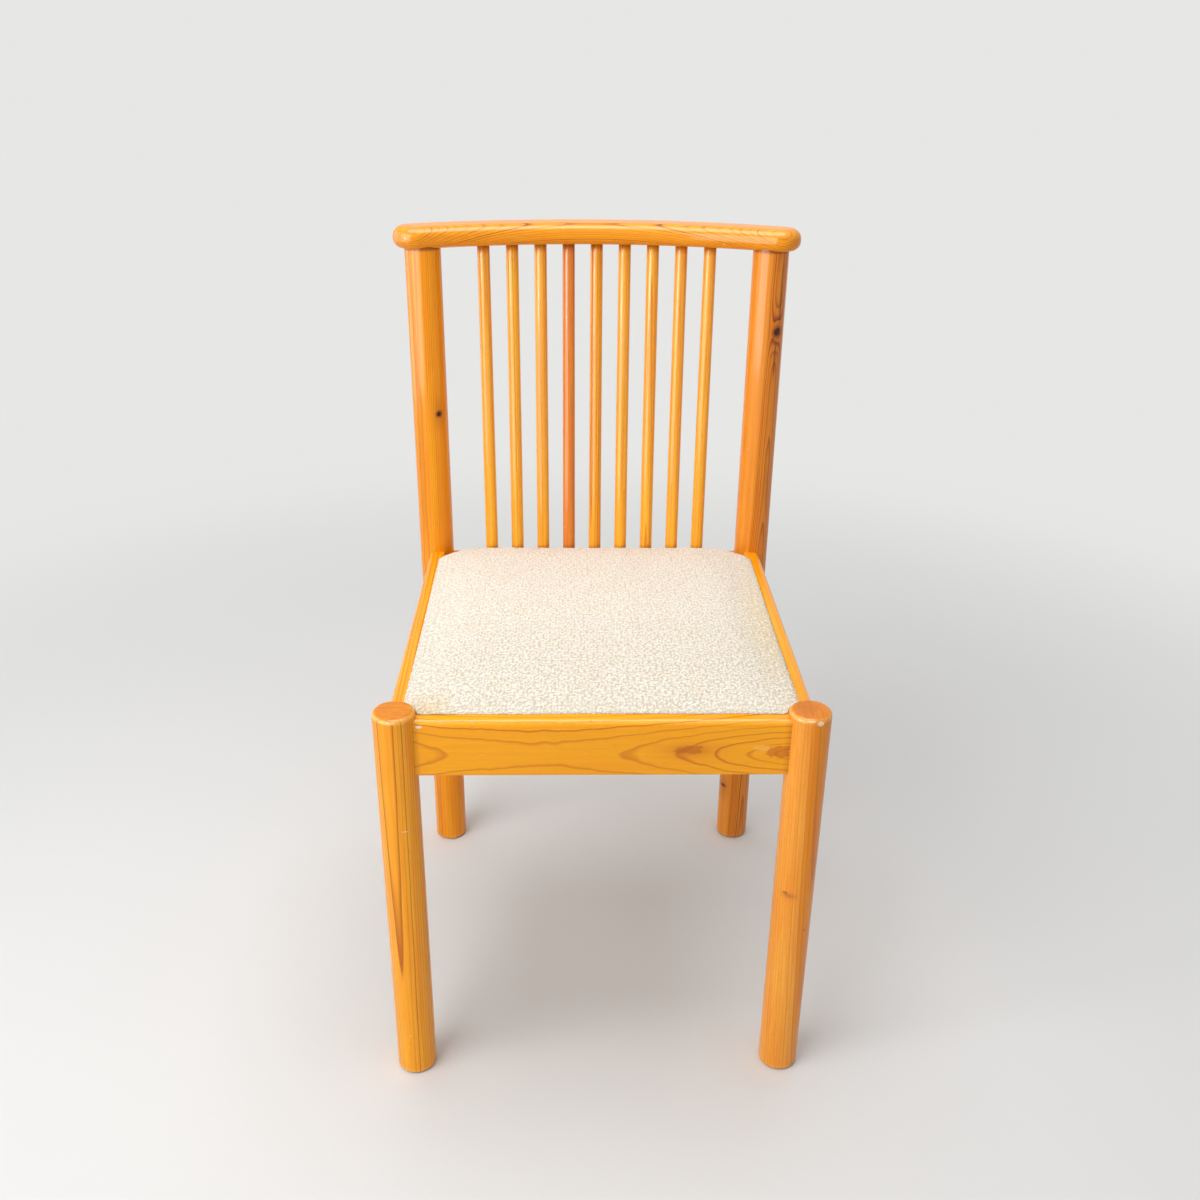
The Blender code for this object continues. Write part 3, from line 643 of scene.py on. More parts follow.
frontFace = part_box("front_rail")[0].y
railLogs = {
    "front_rail": {
        "outward": (0, -1),
        "log": {"pith": (-0.067, frontFace - 0.0360, 0.4135), "turn": alongX, "ringWidth": 0.0065,
                "bow": (0.0, -0.533, 0.0), "wander": 0.0010, "drift": 0.1, "lateTone": 0.85, "cloud": 0.15,
                "lateStart": 0.70, "flow": (18, 18, 34), "streak": 0.18, "faintest": 0.6},
        "marks": [
            {"at": (-0.1800, frontFace, 0.4450), "size": (0.0036, 0.003, 0.0016), "strength": 0.95,
             "colour": linear(246, 232, 226), "bare": True},
            {"at": (0.0880, frontFace, 0.4180), "size": (0.026, 0.006, 0.0085), "strength": 0.6,
             "colour": linear(206, 112, 12), "edge": False},
            {"at": (0.0860, frontFace, 0.4185), "size": (0.017, 0.006, 0.0056), "strength": 0.55,
             "colour": linear(186, 92, 8), "ragged": 1.6},
            {"at": (0.1750, frontFace, 0.4160), "size": (0.014, 0.006, 0.0080), "strength": 0.65,
             "colour": linear(196, 100, 10), "ragged": 1.6},
            {"at": (0.1580, frontFace, 0.4205), "size": (0.010, 0.006, 0.0034), "strength": 0.6,
             "colour": linear(250, 186, 88), "ragged": 1.6},
            {"at": (-0.1200, frontFace, 0.4130), "size": (0.003, 0.003, 0.0009), "strength": 0.5,
             "colour": linear(252, 196, 108)},
            {"at": (-0.0120, frontFace + 0.003, 0.4505), "size": (0.0006, 0.003, 0.0014), "strength": 0.7,
             "colour": linear(120, 66, 20)},
        ],
        "dents": [{"at": (-0.1800, frontFace, 0.4450), "towards": (0, 1, 0), "radius": 0.0028,
                   "depth": 0.0006}],
    },
    "back_rail": {
        "outward": (0, 1),
        "log": {"pith": (0.05, 0.265, 0.385), "turn": alongX, "ringWidth": 0.0034, "wander": 0.0014,
                "lateTone": 0.6},
    },
    "side_rail_left": {
        "outward": (-1, 0),
        "log": {"pith": (-0.150, -0.02, 0.418), "turn": (-math.pi / 2, 0.0, 0.012), "ringWidth": 0.0038,
                "wander": 0.0010, "lateTone": 0.85},
    },
    "side_rail_right": {
        "outward": (1, 0),
        "log": {"pith": (0.262, 0.03, 0.380), "turn": (-math.pi / 2, 0.0, 0.01), "ringWidth": 0.0040,
                "wander": 0.0012, "lateTone": 0.30, "cloud": 0.2},
    },
}

for nodeName, plan in railLogs.items():
    mesh = railSkin(nodeName + "_planed", nodeName, plan["outward"], plan.get("dents", ()))
    wood = varnishedPine(nodeName + "_pine", plan["log"], plan.get("tones"), (), plan.get("marks", ()))
    addPiece(nodeName + "_planed", mesh, wood, (nodeName,))
print("rails planed")


# Crest rail

crestLook = {
    "bow": 0.042,            # middle of the crest behind the post axes
    "rounds": (0.0105, 0.0120),    # lower and upper edges
    "roundSteps": 12,
    "alongSteps": 110,
    "endSteps": 30,
    "faceShares": (1.0, 0.75, 0.45, 0.2),
}

crestLog = {"pith": (0.0, 0.258, 0.760), "turn": (0.0, math.pi / 2, 0.006), "ringWidth": 0.0024,
            "wander": 0.0009, "drift": 0.9, "lateTone": 1.0, "cloud": 0.2, "streak": 0.2, "lateStart": 0.50,
            "faintest": 0.30}
crestTones = {"early": linear(250, 160, 14), "late": linear(140, 56, 2)}


def crestSkin(name):
    # The crest: a stadium bent along an arc through both post axes. Its outline shrinks towards
    # the arc by an inset, so each section is arc radius plus and minus (half depth - inset) and
    # two half circles of that radius; the inset and level follow the rounded edges.
    look = crestLook
    low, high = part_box("crest_rail")
    post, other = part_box("back_post_left")
    span = abs(post.x + other.x) / 2
    axisY = (post.y + other.y) / 2
    radius = (span ** 2 + look["bow"] ** 2) / (2 * look["bow"])
    centre = np.array((0.0, axisY + look["bow"] - radius))
    half = high.y - (axisY + look["bow"])
    swing = math.asin((high.x - half) / radius)
    lower, upper = look["rounds"]
    turn = np.linspace(0, math.pi / 2, look["roundSteps"] + 1)
    shares = 1 - np.array(look["faceShares"])
    insets = np.concatenate((half - (half - lower) * shares, lower - lower * np.sin(turn),
                             upper - upper * np.cos(turn), (half - (half - upper) * shares)[::-1]))
    levels = np.concatenate((np.full(len(shares), low.z), low.z + lower - lower * np.cos(turn),
                             high.z - upper + upper * np.sin(turn), np.full(len(shares), high.z)))
    arc = np.linspace(math.pi / 2 - swing, math.pi / 2 + swing, look["alongSteps"])
    cap = np.linspace(0, math.pi, look["endSteps"])[1:-1]
    reach = (half - insets)[:, None]
    outer = (radius + reach) * np.cos(arc), (radius + reach) * np.sin(arc)
    inner = (radius - reach) * np.cos(arc[::-1]), (radius - reach) * np.sin(arc[::-1])
    ends = []
    for heading, start in ((arc[-1], arc[-1]), (arc[0], arc[0] - math.pi)):
        middle = radius * np.array((math.cos(heading), math.sin(heading)))
        ends.append((middle[0] + reach * np.cos(start + cap), middle[1] + reach * np.sin(start + cap)))
    plan = [np.concatenate((outer[axis], ends[0][axis], inner[axis], ends[1][axis]), axis=1) + centre[axis]
            for axis in (0, 1)]
    rings = np.stack(np.broadcast_arrays(plan[0], plan[1], levels[:, None]), axis=-1)
    # edge zone along the upper edges, at 0.3: drawn pale there as a painted highlight that is partly worn
    # pale, and rubbed
    edge = smoothStep(upper, 0.4 * upper, insets) * smoothStep(high.z - upper, high.z - 0.4 * upper, levels)
    far = smoothStep(0.205, 0.236, np.abs(rings[..., 0]))
    zones = np.stack(np.broadcast_arrays(edge[:, None] * 0.3, far * 0.2, 0.0 * far), axis=-1)
    return closedSkin(name, rings, zones, ends="drawn")


crestMarks = [{"at": (0.0400, 0.2020, 0.8490), "size": (0.0012, 0.003, 0.0012), "strength": 0.6,
               "colour": linear(120, 60, 16)}]
crestWood = varnishedPine("crest_pine", crestLog, crestTones, marks=crestMarks)
addPiece("crest_rail_shaped", crestSkin("crest_rail_shaped"), crestWood, ("crest_rail",))
print("crest shaped")


# Spindles

spindleLook = {
    "around": 40,
    "rows": 26,
    "sink": 0.004,           # runs this far into the rail and the crest
}
spindleTones = {
    "all": {"early": linear(255, 186, 50), "late": linear(196, 100, 12), "fibre": linear(246, 174, 90)},
    4: {"early": linear(236, 146, 52), "late": linear(160, 66, 12), "fibre": linear(220, 132, 66)},
    2: {"late": linear(168, 74, 6)},
    5: {"early": linear(250, 176, 40), "late": linear(176, 80, 10)},
}


def spindleSkin(name, nodeName):
    # A spindle: circles square to its line, whose radius goes evenly from foot to head
    look = spindleLook
    (foot, head), points = nodeAxis(nodeName)
    if foot[2] > head[2]:
        foot, head = head, foot
    along = (head - foot) / np.linalg.norm(head - foot)
    railTop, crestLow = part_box("back_rail")[1].z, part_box("crest_rail")[0].z
    away = points - foot
    away = np.linalg.norm(away - (away @ along)[:, None] * along, axis=1)
    wide = [away[np.abs(points[:, 2] - level) < 0.002].max() for level in (railTop, crestLow)]
    start = foot + along * (railTop - look["sink"] - foot[2]) / along[2]
    end = foot + along * (crestLow + look["sink"] - foot[2]) / along[2]
    share = np.linspace(0, 1, look["rows"])[:, None, None]
    side = np.cross(along, (1.0, 0.0, 0.0))
    side /= np.linalg.norm(side)
    other = np.cross(side, along)
    angle = np.linspace(0, 2 * math.pi, look["around"], endpoint=False)[None, :, None]
    spoke = np.cos(angle) * other + np.sin(angle) * side
    rings = start + (end - start) * share + spoke * (wide[0] + (wide[1] - wide[0]) * share)
    level = rings[..., 2]
    # darker just above the back rail and just below the crest: painted shade where the spindle meets them
    shadeAndGrime = np.maximum(smoothStep(railTop + 0.004, railTop, level) * 0.8,
                       smoothStep(crestLow - 0.003, crestLow, level))
    blank = np.zeros_like(level)
    zones = np.stack((blank, blank, shadeAndGrime), axis=-1)
    return closedSkin(name, rings, zones), start, math.atan2(along[1], along[2])


randomWood = np.random.default_rng(7)
for number in range(1, 10):
    nodeName = "spindle_%d" % number
    mesh, start, lean = spindleSkin(nodeName + "_turned", nodeName)
    heading = randomWood.uniform(-2.6, -0.4)
    reach = randomWood.uniform(0.016, 0.05)
    log = {"pith": (start[0] + reach * math.cos(heading), start[1] + reach * math.sin(heading), 0.6),
           "turn": (-lean + randomWood.uniform(-0.006, 0.006), randomWood.uniform(-0.006, 0.006), 0.0),
           "ringWidth": randomWood.uniform(0.0020, 0.0032), "wander": 0.0007,
           "lateTone": randomWood.uniform(0.55, 0.95), "streak": 0.35}
    tones = dict(spindleTones["all"], **spindleTones.get(number, {}))
    wood = varnishedPine(nodeName + "_pine", log, tones)
    addPiece(nodeName + "_turned", mesh, wood, (nodeName,))
print("spindles turned")


# Seat: a pad under cream boucle over a plywood board, let in between the rails

seatLook = {
    "gap": 0.0010,           # between the pad's sides and the rails
    "notchGap": 0.0016,      # between the pad and a front leg
    "corner": 0.042,         # round of the back corners
    "edgeWidth": 0.018,      # rolled edge before it swells, in plan
    "edgeRise": 0.0058,
    "crown": 0.0026,
    "voxel": 0.005,
    "pressure": 4.0,
    "frames": 20,
    "cap": 0.0030,           # furthest that the swelling moves a point
    "evenRounds": 14,
    "lip": 0.0078,           # how far the rolled edge hangs over the front rail
    "sideLip": 0.0058,
    "shrink": 0.0050,        # what the even mesh loses at its rolled edge
    "subdivisions": 2,
    "fill": 0.85,
}
tuftLook = {
    "pitch": 0.0034,         # between two curls of yarn
    "long": 0.0021,
    "short": 0.0011,
    "height": 0.0012,
    "tableSize": 160,
    "seed": 23,
}
legLow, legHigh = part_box("front_leg_right")
seatPlan = {
    "legX": (legLow.x + legHigh.x) / 2,
    "legY": (legLow.y + legHigh.y) / 2,
    "legRadius": (legHigh.x - legLow.x) / 2,
    "innerX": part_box("side_rail_right")[0].x,
    "front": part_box("front_rail")[1].y,
    "back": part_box("back_rail")[0].y,
    "railTop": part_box("side_rail_right")[1].z,
    "boardTop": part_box("seat_board")[1].z,
    "boardBottom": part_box("seat_board")[0].z,
}


def arcPoints(middle, radius, start, end, steps):
    angle = np.linspace(start, end, steps + 1)
    return np.stack((middle[0] + radius * np.cos(angle), middle[1] + radius * np.sin(angle)), axis=-1)


def seatOutline(inset, step=None):
    # The seat in plan, this far inside the rails: notched round the front legs, with round back
    # corners. With a step, points are added so that neighbours are no further apart.
    plan, look = seatPlan, seatLook
    halfWidth, front, back = plan["innerX"] - inset, plan["front"] + inset, plan["back"] - inset
    notch = plan["legRadius"] + look["notchGap"] + inset
    start = math.pi - math.asin((front - plan["legY"]) / notch)
    end = math.pi / 2 + math.asin((plan["legX"] - halfWidth) / notch)
    corner = look["corner"] - inset
    half = np.vstack((arcPoints((plan["legX"], plan["legY"]), notch, start, end, 16),
                      arcPoints((halfWidth - corner, back - corner), corner, 0, math.pi / 2, 24)))
    outline = np.vstack((half, half[::-1] * (-1, 1)))
    if step is None:
        return outline
    closed = np.vstack((outline, outline[:1]))
    run = np.concatenate(((0,), np.cumsum(np.hypot(*np.diff(closed, axis=0).T))))
    even = np.linspace(0, run[-1], int(run[-1] / step) + 1)[:-1]
    return np.stack((np.interp(even, run, closed[:, 0]), np.interp(even, run, closed[:, 1])), axis=-1)


def evaluated(item, kind, **settings):
    # the item's mesh with one modifier applied
    modifier = item.modifiers.new(kind.lower(), kind)
    for key, value in settings.items():
        setattr(modifier, key, value)
    mesh = bpy.data.meshes.new_from_object(item.evaluated_get(bpy.context.evaluated_depsgraph_get()))
    item.modifiers.clear()
    return mesh


def evened(mesh, values, rounds):
    # each point takes the mean of its own and its neighbours' values, this many times over
    ends = np.empty(len(mesh.edges) * 2, dtype=int)
    mesh.edges.foreach_get("vertices", ends)
    one, other = ends.reshape(-1, 2).T
    count = 1 + np.bincount(ends, minlength=len(values))[:, None]
    for _ in range(rounds):
        total = values.copy()
        np.add.at(total, one, values[other])
        np.add.at(total, other, values[one])
        values = total / count
    return values


def swell(item, look, held):
    # Pressure inside the skin pushes its free part out for a few frames. A point then moves by
    # cap * tanh(way / cap), so none goes further than the cap.
    before = meshPoints(item.data)
    item.vertex_groups.new(name="held").add(np.flatnonzero(held).tolist(), 1.0, "REPLACE")
    cloth = item.modifiers.new("swell", "CLOTH")
    cloth.settings.vertex_group_mass = "held"
    cloth.settings.use_pressure = True
    cloth.settings.uniform_pressure_force = look["pressure"]
    cloth.settings.effector_weights.gravity = 0.0
    cloth.point_cache.frame_end = look["frames"]
    scene = bpy.context.scene
    for number in range(1, look["frames"] + 1):
        scene.frame_set(number)
    swollen = bpy.data.meshes.new_from_object(item.evaluated_get(bpy.context.evaluated_depsgraph_get()))
    way = evened(item.data, meshPoints(swollen) - before, look["evenRounds"])
    bpy.data.meshes.remove(swollen)
    item.modifiers.clear()
    item.vertex_groups.clear()
    scene.frame_set(1)
    length = np.maximum(np.linalg.norm(way, axis=1, keepdims=True), 1e-9)
    after = before + way / length * look["cap"] * np.tanh(length / look["cap"])
    item.data.vertices.foreach_set("co", after.ravel())
    print("pad swollen, largest way %.1f mm" % (1000 * length.max()))


def tufts(flat):
    # Curls of yarn on a jittered grid: each is a small oval hump in its own direction, and the
    # highest one at a point gives its height (0 to 1) and its own random tint.
    look = tuftLook
    size = look["tableSize"]
    table = np.random.default_rng(look["seed"]).random((size, size, 4))
    scaled = flat / look["pitch"]
    cell = np.floor(scaled).astype(int)
    height, tint = np.zeros(len(flat)), np.zeros(len(flat))
    for stepX in (-1, 0, 1):
        for stepY in (-1, 0, 1):
            near = cell + (stepX, stepY)
            chance = table[near[:, 0] % size, near[:, 1] % size]
            away = (scaled - near - 0.15 - 0.7 * chance[:, :2]) * look["pitch"]
            angle = math.pi * (chance[:, 2] * 0.9 - 0.7)
            along = (away[:, 0] * np.cos(angle) + away[:, 1] * np.sin(angle)) / look["long"]
            across = (away[:, 1] * np.cos(angle) - away[:, 0] * np.sin(angle)) / look["short"]
            hump = np.exp(-along ** 2 - across ** 2) * (0.65 + 0.35 * chance[:, 3])
            tint = np.where(hump > height, chance[:, 3] * 0.5 + chance[:, 0] * 0.5, tint)
            height = np.maximum(height, hump)
    return height, tint


def raiseTufts(mesh, fade):
    # The cloth unfolds as a point's place in plan plus its drop below the top along its outward
    # normal. Curls move the skin along its normals, and their height and tint go to the shader.
    points, normals = meshPoints(mesh), meshPoints(mesh, "normal")
    flat = points[:, :2] + normals[:, :2] * (points[:, 2].max() - points[:, 2])[:, None]
    height, tint = tufts(flat)
    points += normals * ((height - 0.5) * fade * tuftLook["height"])[:, None]
    mesh.vertices.foreach_set("co", points.ravel())
    paint(mesh, "tufts", np.stack((height, tint, fade), axis=-1))
    corners = np.empty(len(mesh.loops), dtype=int)
    mesh.loops.foreach_get("vertex_index", corners)
    mesh.uv_layers.new(name="weave").data.foreach_set("uv", flat[corners].ravel())
    mesh.shade_smooth()


def padRings(look):
    # sections of the pad before it swells: straight sides, a rolled edge and a low dome
    plan = seatPlan
    levels = np.linspace(plan["boardTop"] + 0.0004, plan["railTop"] - 0.0010, 4)
    side = seatOutline(look["gap"])
    rings = [np.column_stack((side, np.full(len(side), level))) for level in levels]
    for angle in np.linspace(0, math.pi / 2, 7):
        outline = seatOutline(look["gap"] + look["edgeWidth"] * (1 - math.cos(angle)))
        level = plan["railTop"] + look["edgeRise"] * math.sin(angle)
        rings.append(np.column_stack((outline, np.full(len(outline), level))))
    middle = (plan["front"] + plan["back"]) / 2
    edge = rings[-1]
    for share in (0.85, 0.6, 0.35, 0.12):
        ring = (edge - (0, middle, 0)) * (share, share, 1) + (0, middle, look["crown"] * (1 - share ** 2))
        rings.append(ring)
    return np.stack(rings)


def padSkin(name):
    look, plan = seatLook, seatPlan
    item = bpy.data.objects.new(name + "_start", closedSkin(name + "_start", padRings(look)))
    bpy.context.scene.collection.objects.link(item)
    item.data = evaluated(item, "REMESH", mode="VOXEL", voxel_size=look["voxel"])
    swell(item, look, meshPoints(item.data)[:, 2] < plan["railTop"] - 0.0005)
    mesh = evaluated(item, "SUBSURF", levels=look["subdivisions"], render_levels=look["subdivisions"])
    bpy.data.objects.remove(item)
    mesh.name = name
    points = meshPoints(mesh)
    # below the rails' tops the pad stays between them, and above it rolls out over them
    above = smoothStep(plan["railTop"] - 0.0008, plan["railTop"] + 0.0004, points[:, 2])
    side = np.abs(points[:, 0])
    inX = plan["innerX"] - look["gap"] - side
    inFront = points[:, 1] - plan["front"] - look["gap"]
    inBack = plan["back"] - look["gap"] - points[:, 1]
    nearX, nearFront, nearBack = (above * smoothStep(look["edgeWidth"], 0.0, inside)
                                  for inside in (inX, inFront, inBack))
    side = side + (look["sideLip"] + look["shrink"]) * nearX
    level = points[:, 1] - (look["lip"] + look["shrink"]) * nearFront + look["shrink"] * nearBack
    over, sideOver = (look[key] * above - look["gap"] for key in ("lip", "sideLip"))
    points[:, 0] = np.sign(points[:, 0]) * np.minimum(side, plan["innerX"] + sideOver)
    points[:, 1] = np.clip(level, plan["front"] - over, plan["back"] - look["gap"])
    leg = np.array((plan["legX"], plan["legY"]))
    away = np.stack((np.abs(points[:, 0]), points[:, 1]), axis=-1) - leg
    reach = np.maximum(np.linalg.norm(away, axis=1), 1e-9)
    clear = np.maximum(reach, plan["legRadius"] + look["notchGap"] * 0.6)
    moved = leg + away * (clear / reach)[:, None]
    points[:, 0] = np.sign(points[:, 0]) * moved[:, 0]
    points[:, 1] = moved[:, 1]
    mesh.vertices.foreach_set("co", points.ravel())
    mesh.update()
    normals = meshPoints(mesh, "normal")
    fade = smoothStep(plan["railTop"] - 0.001, plan["railTop"] + 0.0012, points[:, 2])
    raiseTufts(mesh, np.maximum(fade, 0.35 * (normals[:, 1] > 0.7)))
    print("pad: %d points, top %.1f mm" % (len(points), 1000 * meshPoints(mesh)[:, 2].max()))
    return mesh


boucleTones = {
    "loft": linear(248, 244, 236),
    # tone of the pits between the curls: painted shade in the hollows
    "pitShade": linear(206, 195, 173),
    "beige": linear(250, 236, 214),
    "pink": linear(253, 236, 224),
    "olive": linear(236, 230, 202),
    "paleBack": linear(255, 248, 236),
    "speck": linear(176, 158, 132),
    # warm yellow multiplied in near the wood: painted light bounced from the wood
    "woodBounce": linear(250, 226, 168),
}
# soft warm patches at the seat's left front and along its right side: painted light bounced from the wood
boucleWoodBounce = (
    {"at": (-0.172, -0.230, 0.455), "size": (0.018, 0.018, 0.03), "strength": 0.55},
    {"at": (0.190, -0.040, 0.455), "size": (0.022, 0.150, 0.03), "strength": 0.4},
)


def boucleCloth(name):
    # light curls over pits darkened as painted shade, single curls tinted, a little lighter towards the back
    colours = boucleTones
    material, tree, shader = newMaterial(name)
    place = put(tree, "TexCoord").outputs["Object"]
    weave = put(tree, "UVMap", uv_map="weave").outputs["UV"]
    curlHeight, curlTint = axesOf(tree, put(tree, "Attribute", attribute_name="tufts").outputs["Color"])[:2]
    warp = put(tree, "TexNoise", {"Vector": weave, "Scale": 420.0, "Detail": 1.0}).outputs["Color"]
    bent = vectorCalc(tree, "ADD", weave, vectorCalc(tree, "MULTIPLY", warp, (0.0016, 0.0016, 0.0)))
    yarn = calc(tree, "SINE", times(tree, cellDistance(tree, bent, 620.0), 11.0))
    yarn = timesPlus(tree, yarn, 0.5, 0.5)
    lint = noiseAt(tree, weave, 2600.0, 2.0)

    raised = timesPlus(tree, yarn, 0.30, times(tree, curlHeight, 0.80))
    # lower yarn takes the pit tone, painted shade in the hollows
    colour = blendColour(tree, ramp(tree, raised, 0.22, 0.75), colours["pitShade"], colours["loft"])
    broad = ramp(tree, noiseAt(tree, place, 26.0, 3.0), 0.35, 0.65)
    colour = layOver(tree, colour, colours["beige"], broad, 0.12, "MULTIPLY")
    # a little lighter towards the back
    toBack = ramp(tree, axesOf(tree, place)[1], -0.20, 0.16, 0.0, 0.26)
    colour = blendColour(tree, toBack, colour, colours["paleBack"])
    notOlive = ramp(tree, curlTint, 0.82, 0.84, 1.0, 0.0)
    pink = times(tree, ramp(tree, curlTint, 0.70, 0.74), notOlive)
    colour = layOver(tree, colour, colours["pink"], pink, 0.55, "MULTIPLY")
    colour = layOver(tree, colour, colours["olive"], ramp(tree, curlTint, 0.82, 0.86), 0.5, "MULTIPLY")
    fleck = ramp(tree, cellDistance(tree, weave, 130.0), 0.05, 0.11, 1.0, 0.0)
    colour = layOver(tree, colour, colours["speck"], fleck, 0.35)
    # painted warm light bounced from the wood onto the cloth
    for woodBounce in boucleWoodBounce:
        glow = spotAt(tree, place, woodBounce["at"], woodBounce["size"])["Glow"]
        colour = layOver(tree, colour, colours["woodBounce"], glow, woodBounce["strength"], "MULTIPLY")
    height = timesPlus(tree, yarn, 0.7, times(tree, lint, 0.5))
    feed(tree, shader, {"Base Color": colour, "Roughness": timesPlus(tree, lint, 0.12, 0.84),
                        "Specular IOR Level": 0.15, "Sheen Weight": 0.12, "Sheen Roughness": 0.5,
                        "Normal": bumpOf(tree, height, 0.7, 0.0005)})
    return material


boucle = boucleCloth("cream_boucle")
pad = addPiece("seat_cushion_pad", padSkin("seat_cushion_pad"), boucle, ("seat_cushion",))

wrapLook = {
    "gap": 0.0008,
    "thickness": 0.0028,
    "into": 0.0060,          # how far it runs up into the pad
    "rounds": (0.001, 0.001, 0.0012, 0.0012),
    "step": 0.0014,
}


def wrapSkin(name):
    # the cloth drawn down over the board's edge: one section carried round the seat's outline
    look, plan = wrapLook, seatPlan
    low, high = (0.0, plan["boardBottom"] + 0.0002), (look["thickness"], plan["boardTop"] + look["into"])
    section = roundedRectangle(low, high, look["rounds"], look["step"])
    outline = seatOutline(look["gap"], look["step"])
    along = np.roll(outline, -1, axis=0) - np.roll(outline, 1, axis=0)
    along /= np.linalg.norm(along, axis=1, keepdims=True)
    inward = np.stack((-along[:, 1], along[:, 0]), axis=-1)
    rings = np.zeros((len(outline), len(section), 3))
    rings[..., :2] = outline[:, None] + inward[:, None] * section[None, :, :1]
    rings[..., 2] = section[:, 1]
    mesh = closedSkin(name, rings, ends="joined")
    raiseTufts(mesh, np.full(len(mesh.vertices), 0.2))
    return mesh


addPiece("seat_wrap", wrapSkin("seat_wrap"), boucle)


# Under the seat: the cloth's edge stapled to the board between the corner blocks

hemLook = {
    "from": 0.0026,          # inside the rails
    "to": 0.0330,
    "thickness": 0.0012,
    "besideBlock": 0.063,    # strip's end from the rails' inner corner
    "wave": 0.0012,
    "rows": 90,
    "staplePitch": 0.037,
    "stapleInset": 0.021,
    "stapleWidth": 0.0095,
    "stapleBend": 0.0007,
    "stapleLeg": 0.0040,
    "stapleShift": 0.003,
    "stapleLean": 0.25,
    "wire": (0.0006, 0.0003),
    "seed": 5,
}


def joined(name, skins):
    work = bmesh.new()
    for skin in skins:
        work.from_mesh(skin)
        bpy.data.meshes.remove(skin)
    mesh = bpy.data.meshes.new(name)
    work.to_mesh(mesh)
    work.free()
    mesh.shade_smooth()
    return mesh


def hemSides():
    # each side of the seat: where the rails' inner face is, the inward and along directions, and
    # half the length between the blocks
    plan = seatPlan
    middleY, halfY = (plan["front"] + plan["back"]) / 2, (plan["back"] - plan["front"]) / 2
    beside = hemLook["besideBlock"]
    return (((0.0, plan["front"]), (0, 1), (1, 0), plan["innerX"] - beside),
            ((0.0, plan["back"]), (0, -1), (-1, 0), plan["innerX"] - beside),
            ((plan["innerX"], middleY), (-1, 0), (0, 1), halfY - beside),
            ((-plan["innerX"], middleY), (1, 0), (0, -1), halfY - beside))


def hemSkin(name):
    look, bottom = hemLook, seatPlan["boardBottom"]
    chance = np.random.default_rng(look["seed"])
    skins = []
    section = roundedRectangle((look["from"], bottom - look["thickness"]), (look["to"], bottom),
                               (0.0005,) * 4, 0.0015)
    reach = (section[:, 0] - look["from"]) / (look["to"] - look["from"])
    for place, inward, along, half in hemSides():
        run = np.linspace(-half, half, look["rows"])
        wave = np.sin(run * 90 + chance.uniform(0, 6)) + 0.6 * np.sin(run * 260 + chance.uniform(0, 6))
        inset = section[:, 0] + look["wave"] * wave[:, None] * reach ** 4
        rings = np.zeros((len(run), len(section), 3))
        for axis in (0, 1):
            rings[..., axis] = place[axis] + inward[axis] * inset + along[axis] * run[:, None]
        rings[..., 2] = section[:, 1]
        skins.append(closedSkin(name + "_strip", rings))
    mesh = joined(name, skins)
    raiseTufts(mesh, np.full(len(mesh.vertices), 0.25))
    return mesh


def stapleSkin(name):
    # Wire bent into a bridge with both ends in the board: the path goes up, across and down with
    # round corners, and carries a flat oval section.
    look, level = hemLook, seatPlan["boardBottom"] - hemLook["thickness"]
    chance = np.random.default_rng(look["seed"] + 1)
    half, bend = look["stapleWidth"] / 2, look["stapleBend"]
    turn = np.linspace(0, math.pi / 2, 5)
    crown = np.stack((half - bend + bend * np.sin(turn), bend * np.cos(turn) - bend), axis=-1)
    right = np.vstack((crown, ((half, -look["stapleLeg"]),)))
    path = np.vstack((right[::-1] * (-1, 1), right))
    heading = np.gradient(path, axis=0)
    heading /= np.linalg.norm(heading, axis=1, keepdims=True)
    around = np.linspace(0, 2 * math.pi, 12, endpoint=False)
    wide, thick = look["wire"]
    # along the crown, up out of the board, and across the crown
    alongCrown = path[:, :1] - heading[:, 1:] * thick * np.cos(around)
    rise = path[:, 1:] + heading[:, :1] * thick * np.cos(around) + thick
    across = np.broadcast_to(wide * np.sin(around), alongCrown.shape)
    skins = []
    for place, inward, along, side in hemSides():
        count = int(2 * side / look["staplePitch"])
        for spot in (np.arange(count) - (count - 1) / 2) * look["staplePitch"]:
            lean = chance.uniform(-look["stapleLean"], look["stapleLean"])
            inset = look["stapleInset"] + chance.uniform(-look["stapleShift"], look["stapleShift"])
            run = spot + chance.uniform(-look["stapleShift"], look["stapleShift"])
            run = run + alongCrown * math.cos(lean) - across * math.sin(lean)
            depth = inset + alongCrown * math.sin(lean) + across * math.cos(lean)
            rings = np.stack((place[0] + inward[0] * depth + along[0] * run,
                              place[1] + inward[1] * depth + along[1] * run, level - rise), axis=-1)
            skins.append(closedSkin(name + "_one", rings))
    return joined(name, skins)


def zincSteel(name):
    # bright zinc with fine turning marks and a dull, darker bloom
    material, tree, shader = newMaterial(name)
    place = put(tree, "TexCoord").outputs["Object"]
    bloom = noiseAt(tree, place, 700.0, 4.0)
    fine = noiseAt(tree, place, 5000.0, 2.0)
    colour = blendColour(tree, ramp(tree, bloom, 0.35, 0.7), linear(198, 196, 188), linear(150, 146, 134))
    feed(tree, shader, {"Base Color": colour, "Roughness": timesPlus(tree, bloom, 0.35, 0.18),
                        "Metallic": 1.0, "Normal": bumpOf(tree, fine, 0.3, 0.0001)})
    return material


steel = zincSteel("zinc_steel")
addPiece("seat_hem", hemSkin("seat_hem"), boucle)
addPiece("seat_staples", stapleSkin("seat_staples"), steel)
print("hem stapled")


# Board, corner blocks and screws

easeLook = {"width": 0.0008, "segments": 3, "sharpAngle": math.radians(30)}


